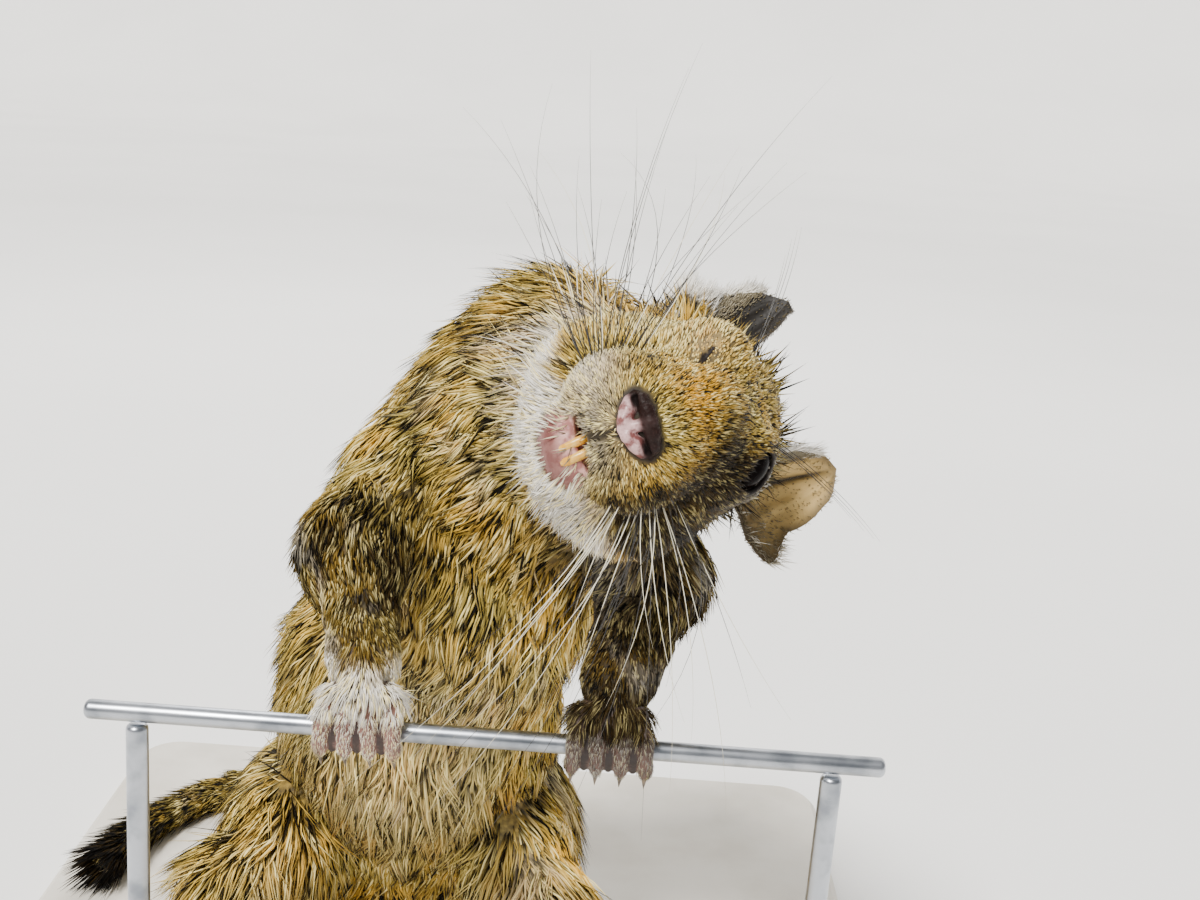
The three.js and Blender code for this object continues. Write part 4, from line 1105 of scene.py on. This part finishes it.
def tuft_lines(roots, outward, way, sizes):
    """The line of each tuft from its sunk root to its tip, drawn together in clumps."""
    length, width, lift, _ = sizes
    count = len(roots)
    pull = np.interp(length, [1.5, 8], [0.25, 0.62])
    length = length * RANDOM.uniform(0.6, 1.25, count)
    way = way + RANDOM.normal(0, 0.12, (count, 3))
    along = unit(way - (way * outward).sum(1)[:, None] * outward)
    across = np.cross(outward, along)
    sway = ripple(roots, 4, 31) * np.interp(length, [2, 8], [0.05, 0.2])
    rise = np.radians(lift * RANDOM.uniform(0.3, 1.7, count))
    seeds = RANDOM.random(count) < 1 / CLUMP_SIZE
    seeds[0] = True
    leader = np.flatnonzero(seeds)[near_seed(roots, roots[seeds])]
    lines = np.zeros((count, len(TUFT_STEPS), 3))
    for number, step in enumerate(TUFT_STEPS):
        angle = (rise * (1 - 0.6 * step))[:, None]
        reach = (length * step)[:, None]
        lines[:, number] = roots + reach * (np.cos(angle) * along + np.sin(angle) * outward)
        lines[:, number] += reach * (sway * step)[:, None] * across
    for number, step in enumerate(TUFT_STEPS[1:], 1):
        toward = lines[leader, number] - lines[:, number]
        near = np.linalg.norm(toward, axis=1) < length * 0.5
        lines[:, number] += (near * pull * step ** 1.3)[:, None] * toward
    lines[:, 0] -= outward * (0.25 + 0.2 * width)[:, None]
    return lines, along, leader


def tuft_mesh(lines, along, outward, width):
    """Closed three-sided tufts that taper to a point: low and wide, with a ridge above."""
    across = unit(np.cross(outward, along))
    rings = []
    for number, share in enumerate(TUFT_WIDTHS):
        half = (width * share / 2)[:, None]
        middle = lines[:, number]
        rings += [middle - half * across, middle + half * across, middle + half * 0.8 * outward]
    points = np.stack([*rings, lines[:, -1]], 1)
    last, tip = 3 * len(TUFT_WIDTHS) - 3, 3 * len(TUFT_WIDTHS)
    faces = [(0, 1, 2), (last, tip, last + 1), (last + 1, tip, last + 2), (last + 2, tip, last)]
    for ring in range(0, last, 3):
        for a, b in ((ring, ring + 1), (ring + 1, ring + 2), (ring + 2, ring)):
            faces += [(a, a + 3, b), (b, a + 3, b + 3)]
    offsets = np.arange(len(lines))[:, None, None] * (tip + 1)
    return points.reshape(-1, 3), (np.array(faces)[None] + offsets).reshape(-1, 3)


CHART_PATCH = 0.003


def add_chart(piece, charts):
    """The map for baking: each tuft is a small patch at its root's place on the skin's unwrap."""
    across = np.append(np.tile([0.0, 1.0, 0.5], len(TUFT_WIDTHS)), 0.5)
    local = np.stack([across, TUFT_SHARES], 1) * CHART_PATCH - CHART_PATCH / 2
    places = (np.clip(charts, 0.002, 0.998)[:, None, :] + local[None]).reshape(-1, 2)
    corners = np.zeros(len(piece.data.loops), np.int32)
    piece.data.loops.foreach_get("vertex_index", corners)
    layer = piece.data.uv_layers.new(name="OFBake")
    layer.data.foreach_set("uv", places[corners].astype(np.float32).ravel())


def tick_share(points):
    """How many of the tufts end in black."""
    head = to_head(points)
    share = 0.5 + 0.3 * patch(head, *TICKED_BROW) + 0.1 * smooth(10, -6, head[:, 0])
    share += 0.12 * (ripple(points, 6, 21) > 0.3)
    share -= 0.2 * patch(head, *PLAIN_CHEEK)
    share *= smooth(30, 12, np.abs(points[:, 0])) * 0.2 + 0.8
    share *= 1 - smooth(-4, -8, head[:, 2]) * smooth(8, 16, head[:, 0])
    share += 0.25 * smooth(4, 9, head[:, 1]) * smooth(16, 24, head[:, 0])
    share *= 1 - 0.9 * smooth(10, 4, closest(hands, points))
    return share * (1 - 0.5 * smooth(86, 55, points[:, 2]) * smooth(50, 30, points[:, 1]))


def pale_and_lit_share(points):
    """How much lighter the tufts are round the right eye and over the right cheek: partly pale fur, partly
    painted light on the side that the light falls on.
    """
    head = to_head(points)
    return 0.3 * patch(head, *LIGHT_EYE) + 0.25 * patch(head, *LIGHT_CHEEK)


def tuft_piece(name, finish, tufts, marks, charts):
    """One piece of coat from the lines of its tufts, with their markings and their map."""
    points, faces = tuft_mesh(*tufts)
    points[:, 2] = np.maximum(points[:, 2], GROUND + 0.05)
    piece = make_object(name, points, faces, finish)
    set_attribute(piece, "along", np.tile(TUFT_SHARES, len(charts)))
    for mark, values in marks.items():
        set_attribute(piece, mark, np.repeat(values, len(TUFT_SHARES)))
    add_chart(piece, charts)
    return piece


def grow_coat(shell, points, faces, finish, pieces, sizes_of, way_of, marks_of):
    """The coat over one shell, as pieces that are each spread over the whole of it."""
    roots, charts, outward = scatter(points, faces, skin_unwrap(shell), sizes_of)
    kept = ~bare_places(roots)
    roots, charts, outward = roots[kept], charts[kept], outward[kept]
    sizes = sizes_of(roots)
    lines, along, leader = tuft_lines(roots, outward, way_of(roots), sizes)
    width = sizes[1] * RANDOM.uniform(0.7, 1.3, len(roots))
    chance = RANDOM.random(len(roots))
    marks = {
        "chance": np.clip(chance * 0.8 + chance[leader] * 0.35 - 0.08 + pale_and_lit_share(roots), 0, 1),
        "tick": (RANDOM.random(len(roots)) < tick_share(roots)).astype(float),
        **marks_of(roots),
    }
    for number, part in enumerate(np.array_split(RANDOM.permutation(len(roots)), pieces), 1):
        tufts = (lines[part], along[part], outward[part], width[part])
        shares = {mark: values[part] for mark, values in marks.items()}
        name = shell.name.replace("skin", "coat") + f"_{number}"
        placed(tuft_piece(name, finish, tufts, shares, charts[part]), "coat")


def brush_hairs():
    """Stiff hairs all round the last part of the tail, longest at its end."""
    count = BRUSH["hairs"]
    part = 1 - (1 - BRUSH["start"]) * RANDOM.random(count) ** 1.3
    place = part * (len(TAIL_LINE) - 1)
    low = np.minimum(place.astype(int), len(TAIL_LINE) - 2)
    line = np.array(TAIL_LINE)
    step = line[low + 1] - line[low]
    along = unit(step)
    outward = RANDOM.normal(size=(count, 3))
    outward = unit(outward - (outward * along).sum(1)[:, None] * along)
    roots = line[low] + (place - low)[:, None] * step + outward * (tail_radius(part) * 0.6)[:, None]
    grown = 0.45 + 0.55 * smooth(BRUSH["start"], 1, part)
    length = (BRUSH["length"] * grown * RANDOM.uniform(0.7, 1.15, count))[:, None, None]
    rise = np.radians(RANDOM.uniform(6, 26, count))[:, None]
    way = np.cos(rise) * along + np.sin(rise) * outward
    lines = roots[:, None] + length * TUFT_STEPS[:, None] * way[:, None]
    marks = {name: np.zeros(count) for name in ("pale", "warm", "grey")}
    marks.update(dusk=grown, chance=RANDOM.random(count) * 0.5, tick=np.ones(count))
    return (lines, along, outward, np.full(count, BRUSH["width"])), marks, RANDOM.random((count, 2))


def ear_coat(ear, side):
    """The sizes, lie and markings of the short hair on one ear."""
    tall = unit(np.array(ear["up"], float))
    facing = np.array(ear["open"], float)
    facing = unit(facing - tall @ facing * tall)

    def local(points):
        away = to_head(points) - ear["root"]
        return away @ np.cross(tall, facing) * side, away @ tall / EAR["height"]

    def fringe(share):
        return smooth(2.2, 4.5, share * ear["fringe"])

    def sizes(points):
        share, rise = local(points)
        low = smooth(0.35, 0, rise)
        length = 0.9 + 2.6 * low + 2.6 * fringe(share)
        return length, 0.12 + 0.06 * fringe(share), 7 + 15 * low, 2 + 6 * low + 20 * fringe(share)

    def way(points):
        share, _ = local(points)
        out = np.cross(tall, facing) * side
        return unit(tall + share[:, None] / EAR["width"] * 1.6 * out) @ HEAD_AXES

    def marks(points):
        share, rise = local(points)
        low = smooth(0.3, 0.05, rise)
        pale = 0.95 * fringe(share) + 0.45 * low
        still = np.zeros(len(points))
        shares = {
            "pale": pale, "dusk": ear["dusk"] * (1 - pale), "warm": still, "grey": still + 0.8, "tick": still,
            "chance": RANDOM.uniform(0.3, 0.6, len(points)),
        }
        return {name: np.clip(values, 0, 1) for name, values in shares.items()}

    return sizes, way, marks


# Whiskers

WHISKER_ROWS, WHISKER_COLUMNS = 6, 5
WHISKER_RADIUS, WHISKER_STEPS, WHISKER_SIDES = 0.062, 13, 6
BROW_WHISKERS = 4
# Lift of the lowest and the highest row, and the share of dark ones, on either side
WHISKER_FANS = {RIGHT: (-0.12, 1.0, 0.85), LEFT: (-0.95, 0.2, 0.3)}


def on_outline(place, side):
    """Moves a place beside the muzzle across until it lies just inside the outline."""
    place = np.array(place, float)
    for _ in range(6):
        place[1] -= side * (head_form(from_head(place[None]))[0] + 0.8) * 0.7
    return place


def whisker_paths():
    paths, darks = [], []
    steps = np.linspace(0, 1, WHISKER_STEPS)[:, None]
    for side, (lowest, highest, dark) in WHISKER_FANS.items():
        for row, column in itertools.product(range(WHISKER_ROWS), range(WHISKER_COLUMNS)):
            high = row / (WHISKER_ROWS - 1) + RANDOM.uniform(-0.1, 0.1)
            back = (column + RANDOM.uniform(-0.3, 0.3)) / (WHISKER_COLUMNS - 1)
            root = on_outline([41 - 7 * back, side * (5.2 + 2.6 * back), -5.2 + 6 * high], side)
            lift = lowest + (highest - lowest) * high + RANDOM.uniform(-0.14, 0.14)
            way = unit(np.array([0.5 - 0.8 * back, side, lift]))
            length = (20 + 24 * back) * RANDOM.uniform(0.75, 1.15)
            sag = RANDOM.uniform(-0.3, 0.3) - 0.2 * (side == LEFT)
            bend = np.array([-0.3, 0, sag]) * RANDOM.uniform(0.6, 1.7)
            paths.append(from_head(root + steps * way * length + steps ** 2 * bend * length))
            darks.append(RANDOM.random() < dark)
        for number in range(BROW_WHISKERS):
            root = on_outline([28.5 - 1.5 * number, side * 6, 13.5 + 0.4 * number], side)
            way = unit(np.array([0.1 - 0.15 * number, side * 0.8, 0.7]))
            bend = np.array([-0.3, side * 0.1, -0.1])
            paths.append(from_head(root + (steps * way + steps ** 2 * bend) * (14 + 2 * number)))
            darks.append(True)
    return np.array(paths), np.array(darks, float)


# The camera stands where the photograph was taken from

CAMERA_PLACE = np.array([12.556, -178.047, 168.943])
CAMERA_DOWN, CAMERA_ROLL = math.radians(15), math.radians(4.27)
FOCAL_PIXELS, FRAME_PIXELS = 1448, 1200
SENSOR = 36.0


def make_camera():
    camera = bpy.data.objects.new("camera", bpy.data.cameras.new("camera"))
    bpy.context.scene.collection.objects.link(camera)
    camera.data.sensor_width = SENSOR
    camera.data.lens = SENSOR * FOCAL_PIXELS / FRAME_PIXELS
    camera.data.clip_start, camera.data.clip_end = 0.01, 100
    camera.location = (CAMERA_PLACE + ORIGIN) * MM
    camera.rotation_mode = "QUATERNION"
    level = Matrix.Rotation(math.pi / 2 - CAMERA_DOWN, 4, "X")
    camera.rotation_quaternion = (level @ Matrix.Rotation(CAMERA_ROLL, 4, "Z")).to_quaternion()
    bpy.context.scene.camera = camera


def make_sun(from_way, strength, tint):
    """Even light from one side, soft at the edges of its shadows."""
    lamp = bpy.data.lights.new("daylight", "SUN")
    lamp.energy, lamp.color, lamp.angle = strength, tint, math.radians(14)
    made = bpy.data.objects.new("daylight", lamp)
    made.rotation_mode = "QUATERNION"
    made.rotation_quaternion = Vector(from_way).to_track_quat("Z", "Y")
    bpy.context.scene.collection.objects.link(made)


def make_light(name, place, aim, size, power, tint=(1, 1, 1)):
    lamp = bpy.data.lights.new(name, "AREA")
    lamp.shape, lamp.size, lamp.energy, lamp.color = "DISK", size, power, tint
    made = bpy.data.objects.new(name, lamp)
    made.location = place
    made.rotation_mode = "QUATERNION"
    made.rotation_quaternion = (Vector(aim) - Vector(place)).to_track_quat("-Z", "Y")
    bpy.context.scene.collection.objects.link(made)


def rod_outline(radius, length, rounding=0.8):
    """Places along a rod and its radius at each, with rounded rims."""
    turn = np.linspace(0, math.pi / 2, 7)
    rise = rounding * (1 - np.cos(turn))
    radii = radius - rounding * (1 - np.sin(turn))
    return np.concatenate([rise, length - rise[::-1]]), np.concatenate([radii, radii[::-1]])


def placed(piece, slot, *nodes):
    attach(piece, "root")
    if nodes:
        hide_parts(*nodes)
    return piece


# The skin: trunk, head, hands and feet, each with the size of the cells its surface is made from

BODY_STEP, FACE_STEP, HAND_STEP, FOOT_STEP, NOSE_STEP, EYE_STEP = 1.25, 0.4, 0.4, 0.5, 0.14, 0.3
coat_material = coat_finish()
make_camera()
trunk_mesh = surface_net(trunk_shell_form, [-86, -32, GROUND - 4], [48, 120, 144], BODY_STEP)
face_low, face_high = head_box([HEAD_SHELL_START - 1, -18, -21], [48, 18, 22])
head_mesh = surface_net(face_form, face_low, face_high, FACE_STEP)
skin_points, skin_faces = joined([trunk_mesh, head_mesh])
skin = make_object("skin", skin_points, skin_faces, skin_finish())
for name, values in markings(skin_points).items():
    set_attribute(skin, name, values)
skin_places = to_head(skin_points)
bare_skin = smooth(0.6, -0.2, lump(*BARE_LIP)(skin_places))
lid_rim = smooth(0.55, 0.15, open_lids_form(to_eye(skin_places, LEFT)))
lid_rim += smooth(0.4, 0.1, np.minimum(shut_line_form(skin_places), crease_form(skin_places) + 0.1))
lid_rim += smooth(0.9, 0, nose_form(skin_places)) * 0.95
lid_rim += smooth(0.3, 0, cleft_edge_form(skin_places)) * 0.8
mauve = smooth(-8.6, -11, skin_places[:, 2]) * 0.85
skin_shares = {"bare": bare_skin, "rim": np.clip(lid_rim, 0, 1), "mauve": mauve, "chance": 0.5, "tick": 0.0}
for name, values in skin_shares.items():
    set_attribute(skin, name, np.broadcast_to(values, len(skin_points)))
placed(skin, "coat", "head", "lower_jaw", "neck", "chest", "abdomen", "rump", *[
    f"{limb}_{side}" for limb in ("upper_arm", "forearm", "thigh", "shank") for side in ("left", "right")],
    *[f"tail_{length}" for length in (1, 2, 3, 4)])

hand_material = hand_finish()
digit_shells = []
for side, name in ((LEFT, "left"), (RIGHT, "right")):
    knuckles = np.array(arm_places(side)[3])
    hand_mesh = surface_net(hand_form(side), knuckles - [9, 8, 11], knuckles + [9, 14, 8], HAND_STEP)
    hand = make_object(f"hand_skin_{name}", *hand_mesh, hand_material)
    facing_up = unit(slope_of(hand_form(side), hand_mesh[0]))[:, 2]
    set_attribute(hand, "sole", smooth(0.4, -0.6, facing_up) * (0.6 if side == RIGHT else 0.25))
    placed(hand, "hand_skin", f"hand_{name}")
    ball = foot_frame(side)[1]
    foot_low, foot_high = [ball[0] - 14, ball[1] - 17, GROUND - 1], [ball[0] + 14, ball[1] + 32, 26]
    foot_mesh = surface_net(foot_form(side), foot_low, foot_high, FOOT_STEP)
    foot = make_object(f"foot_skin_{name}", *foot_mesh, hand_material)
    set_attribute(foot, "sole", smooth(1.5, 0.4, foot_mesh[0][:, 2] - GROUND))
    placed(foot, "hand_skin", f"foot_{name}")
    digit_shells += [(hand, *hand_mesh, hand_sizes), (foot, *foot_mesh, foot_sizes)]
    # Painted shade between the fingers: the webs there are coloured near black.
    set_attribute(hand, "gap", smooth(0.2, -0.05, web_form(side)(hand_mesh[0])))
    furred = smooth(83.5, 85.5, hand_mesh[0][:, 2])
    set_attribute(hand, "dark", np.maximum(0.85 if side == LEFT else 0.15, furred * 0.9))

claw_lines = claw_paths()
claw_taper = CLAW["radius"] * (1 - np.linspace(0, 0.97, CLAW["steps"]) ** 1.5)
claw_mesh = tubes(claw_lines, np.tile(claw_taper, (len(claw_lines), 1)), 10)
claw_horn = plain_finish("claw horn", "#3b302a", "#8d7a66", 500, Roughness=0.35)
placed(make_object("claws", *claw_mesh, claw_horn), "hand_skin")

# Nose, mouth and eyes
pad_form = carved(carved(nose_form, hollow_form, 0.25), bone(*GROOVE, *GROOVE_RADIUS), 0.25)
nose_points, nose_faces = surface_net(pad_form, [42, -6, -5], [49, 6, 5], NOSE_STEP)
nose = make_object("nose_pad", from_head(nose_points), nose_faces, nose_finish())
rim_form = melted(bones(NOSE_RIM, NOSE_RIM_RADII), 0.2)
crown = smooth(1.0, 0.0, rim_form(nose_points * [1, 0, 1] + np.abs(nose_points) * [0, 1, 0]))
set_attribute(nose, "crown", crown)
# Painted shade in the nostrils, which are carved shallow.
set_attribute(nose, "hollow", smooth(0.2, -0.1, hollow_form(nose_points)))
placed(nose, "nose_skin", "nose")

teeth_lines = []
for side in (RIGHT, LEFT):
    root, tip = (np.array(mirrored(INCISOR[end], side), float) for end in ("root", "tip"))
    tip[1] += INCISOR["lean"]
    middle = (root + tip) / 2 + [INCISOR["bow"], 0, 0]
    teeth_lines.append(from_head(spline([root, middle, tip], 6)))
tooth_radii = np.full((1, len(teeth_lines[0])), INCISOR["width"] / 2 * 0.92)
tooth_radii[:, -1] *= 0.45
for line, name in zip(teeth_lines, ("right", "left")):
    enamel = plain_finish("incisor enamel", "#e3a12c", "#f0c564", 900, Roughness=0.25, bump=0.05)
    tooth = make_object(f"incisor_enamel_{name}", *tubes(line[None], tooth_radii, 14), enamel)
    placed(tooth, "enamel", f"incisor_{name}")
tongue_form = lump(TONGUE[0], np.array(TONGUE[1]) * 0.9)
tongue_points, tongue_faces = surface_net(tongue_form, [28, -4, -9], [43, 4, -4], FACE_STEP)
tongue_flesh = plain_finish("tongue", "#b5646a", "#cf8a8c", 700, Roughness=0.35)
tongue = make_object("tongue_flesh", from_head(tongue_points), tongue_faces, tongue_flesh)
placed(tongue, "pink_skin", "tongue")

eye_gloss = {"Roughness": 0.25, "Specular_IOR_Level": 0.01}
eye_material = plain_finish("dark eye", "#060303", "#120906", 120, bump=0.0, **eye_gloss)
for side, name in ((LEFT, "left"), (RIGHT, "right")):
    eye_points, eye_faces = surface_net(lump([0, 0, 0], [EYE["radius"]] * 3), [-5] * 3, [5] * 3, EYE_STEP)
    eye_points = from_head(eye_points + mirrored(EYE["at"], side))
    placed(make_object(f"eyeball_{name}", eye_points, eye_faces, eye_material), "eye", f"eye_{name}")

# Ears
ear_material = ear_finish()
ear_shells = []
for side, name, ear in ((LEFT, "left", EAR_LEFT), (RIGHT, "right", EAR_RIGHT)):
    ear_points, ear_faces, shares = ear_mesh(ear, side)
    piece = make_object(f"ear_skin_{name}", ear_points, ear_faces, ear_material)
    # Painted shadow: the right ear's open cup is coloured near black; the left ear's is not.
    shares["shade"] = shares["inner"] * (1.0 if side == RIGHT else 0.0)
    for mark, values in shares.items():
        set_attribute(piece, mark, values)
    placed(piece, "ear_skin", f"ear_{name}")
    ear_shells.append((piece, ear_points, ear_faces, ear, side))

# Coat
grow_coat(skin, skin_points, skin_faces, coat_material, 8, coat_sizes, lie_of_coat, markings)
for shell, shell_points, shell_faces, sizes_of in digit_shells:
    grow_coat(shell, shell_points, shell_faces, coat_material, 1, sizes_of, lie_of_coat, markings)
for shell, shell_points, shell_faces, ear, side in ear_shells:
    grow_coat(shell, shell_points, shell_faces, coat_material, 1, *ear_coat(ear, side))
brush = tuft_piece("tail_brush_hairs", coat_material, *brush_hairs())
placed(brush, "brush_hair", "tail_brush")

whisker_lines, whisker_darks = whisker_paths()
whisker_taper = WHISKER_RADIUS * (1 - np.linspace(0, 0.85, WHISKER_STEPS) ** 1.2)
whisker_radii = np.tile(whisker_taper, (len(whisker_lines), 1))
whisker_mesh = tubes(whisker_lines, whisker_radii, WHISKER_SIDES)
whiskers = make_object("whiskers", *whisker_mesh, whisker_finish())
whisker_shares = np.append(np.repeat(np.linspace(0, 1, WHISKER_STEPS), WHISKER_SIDES), [0, 1])
set_attribute(whiskers, "dark", np.repeat(whisker_darks, len(whisker_shares)))
set_attribute(whiskers, "along", np.tile(whisker_shares, len(whisker_lines)))
placed(whiskers, "brush_hair")

# Stand, floor and light
steel = steel_finish()
for name, axis in (("stand_perch", 0), ("stand_rod_left", 2), ("stand_rod_right", 2)):
    low, high = (np.array(corner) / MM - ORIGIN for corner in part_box(name))
    radius = (high - low)[1] / 2
    places, radii = rod_outline(radius, high[axis] - low[axis])
    line = np.tile((low + high) / 2, (len(places), 1))
    line[:, axis] = low[axis] + places
    piece = make_object(name.replace("stand_", "stand_round_"), *tubes(line[None], radii[None], 40), steel)
    placed(piece, "steel", name)
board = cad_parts["stand_base"]
board.data.materials.clear()
board.data.materials.append(plain_finish("painted board", "#ded8cc", "#cfc8ba", 60, Roughness=0.5))

SWEEP_REACH, SWEEP_FRONT, SWEEP_BACK, SWEEP_BEND = 9000, -9000, 2600, 1400
turn = np.linspace(0, math.pi / 2, 17)
rows_away = [SWEEP_FRONT, *(SWEEP_BACK + SWEEP_BEND * np.sin(turn)), SWEEP_BACK + SWEEP_BEND]
rows_high = [0, *(SWEEP_BEND * (1 - np.cos(turn))), SWEEP_REACH]
sweep_sides = (-SWEEP_REACH, SWEEP_REACH)
sweep_points = np.array([[x, y, z - 0.1] for y, z in zip(rows_away, rows_high) for x in sweep_sides])
sweep_faces = [[row, row + 1, row + 3, row + 2] for row in range(0, len(sweep_points) - 2, 2)]
floor_paint = plain_finish("pale floor", "#f6f5f3", "#f1f0ee", 3, Roughness=0.9, Specular_IOR_Level=0.1)
make_object("floor", sweep_points, sweep_faces, floor_paint)
make_sun((-0.3, -0.5, 0.81), 5.6, (1, 0.98, 0.94))
make_light("rim", (-0.1, 0.7, 0.7), (0, 0, 0.1), 0.5, 4)
world = bpy.data.worlds.new("studio")
world.use_nodes = True
world.node_tree.nodes["Background"].inputs["Color"].default_value = (0.9, 0.91, 0.92, 1)
world.node_tree.nodes["Background"].inputs["Strength"].default_value = 0.42
bpy.context.scene.world = world
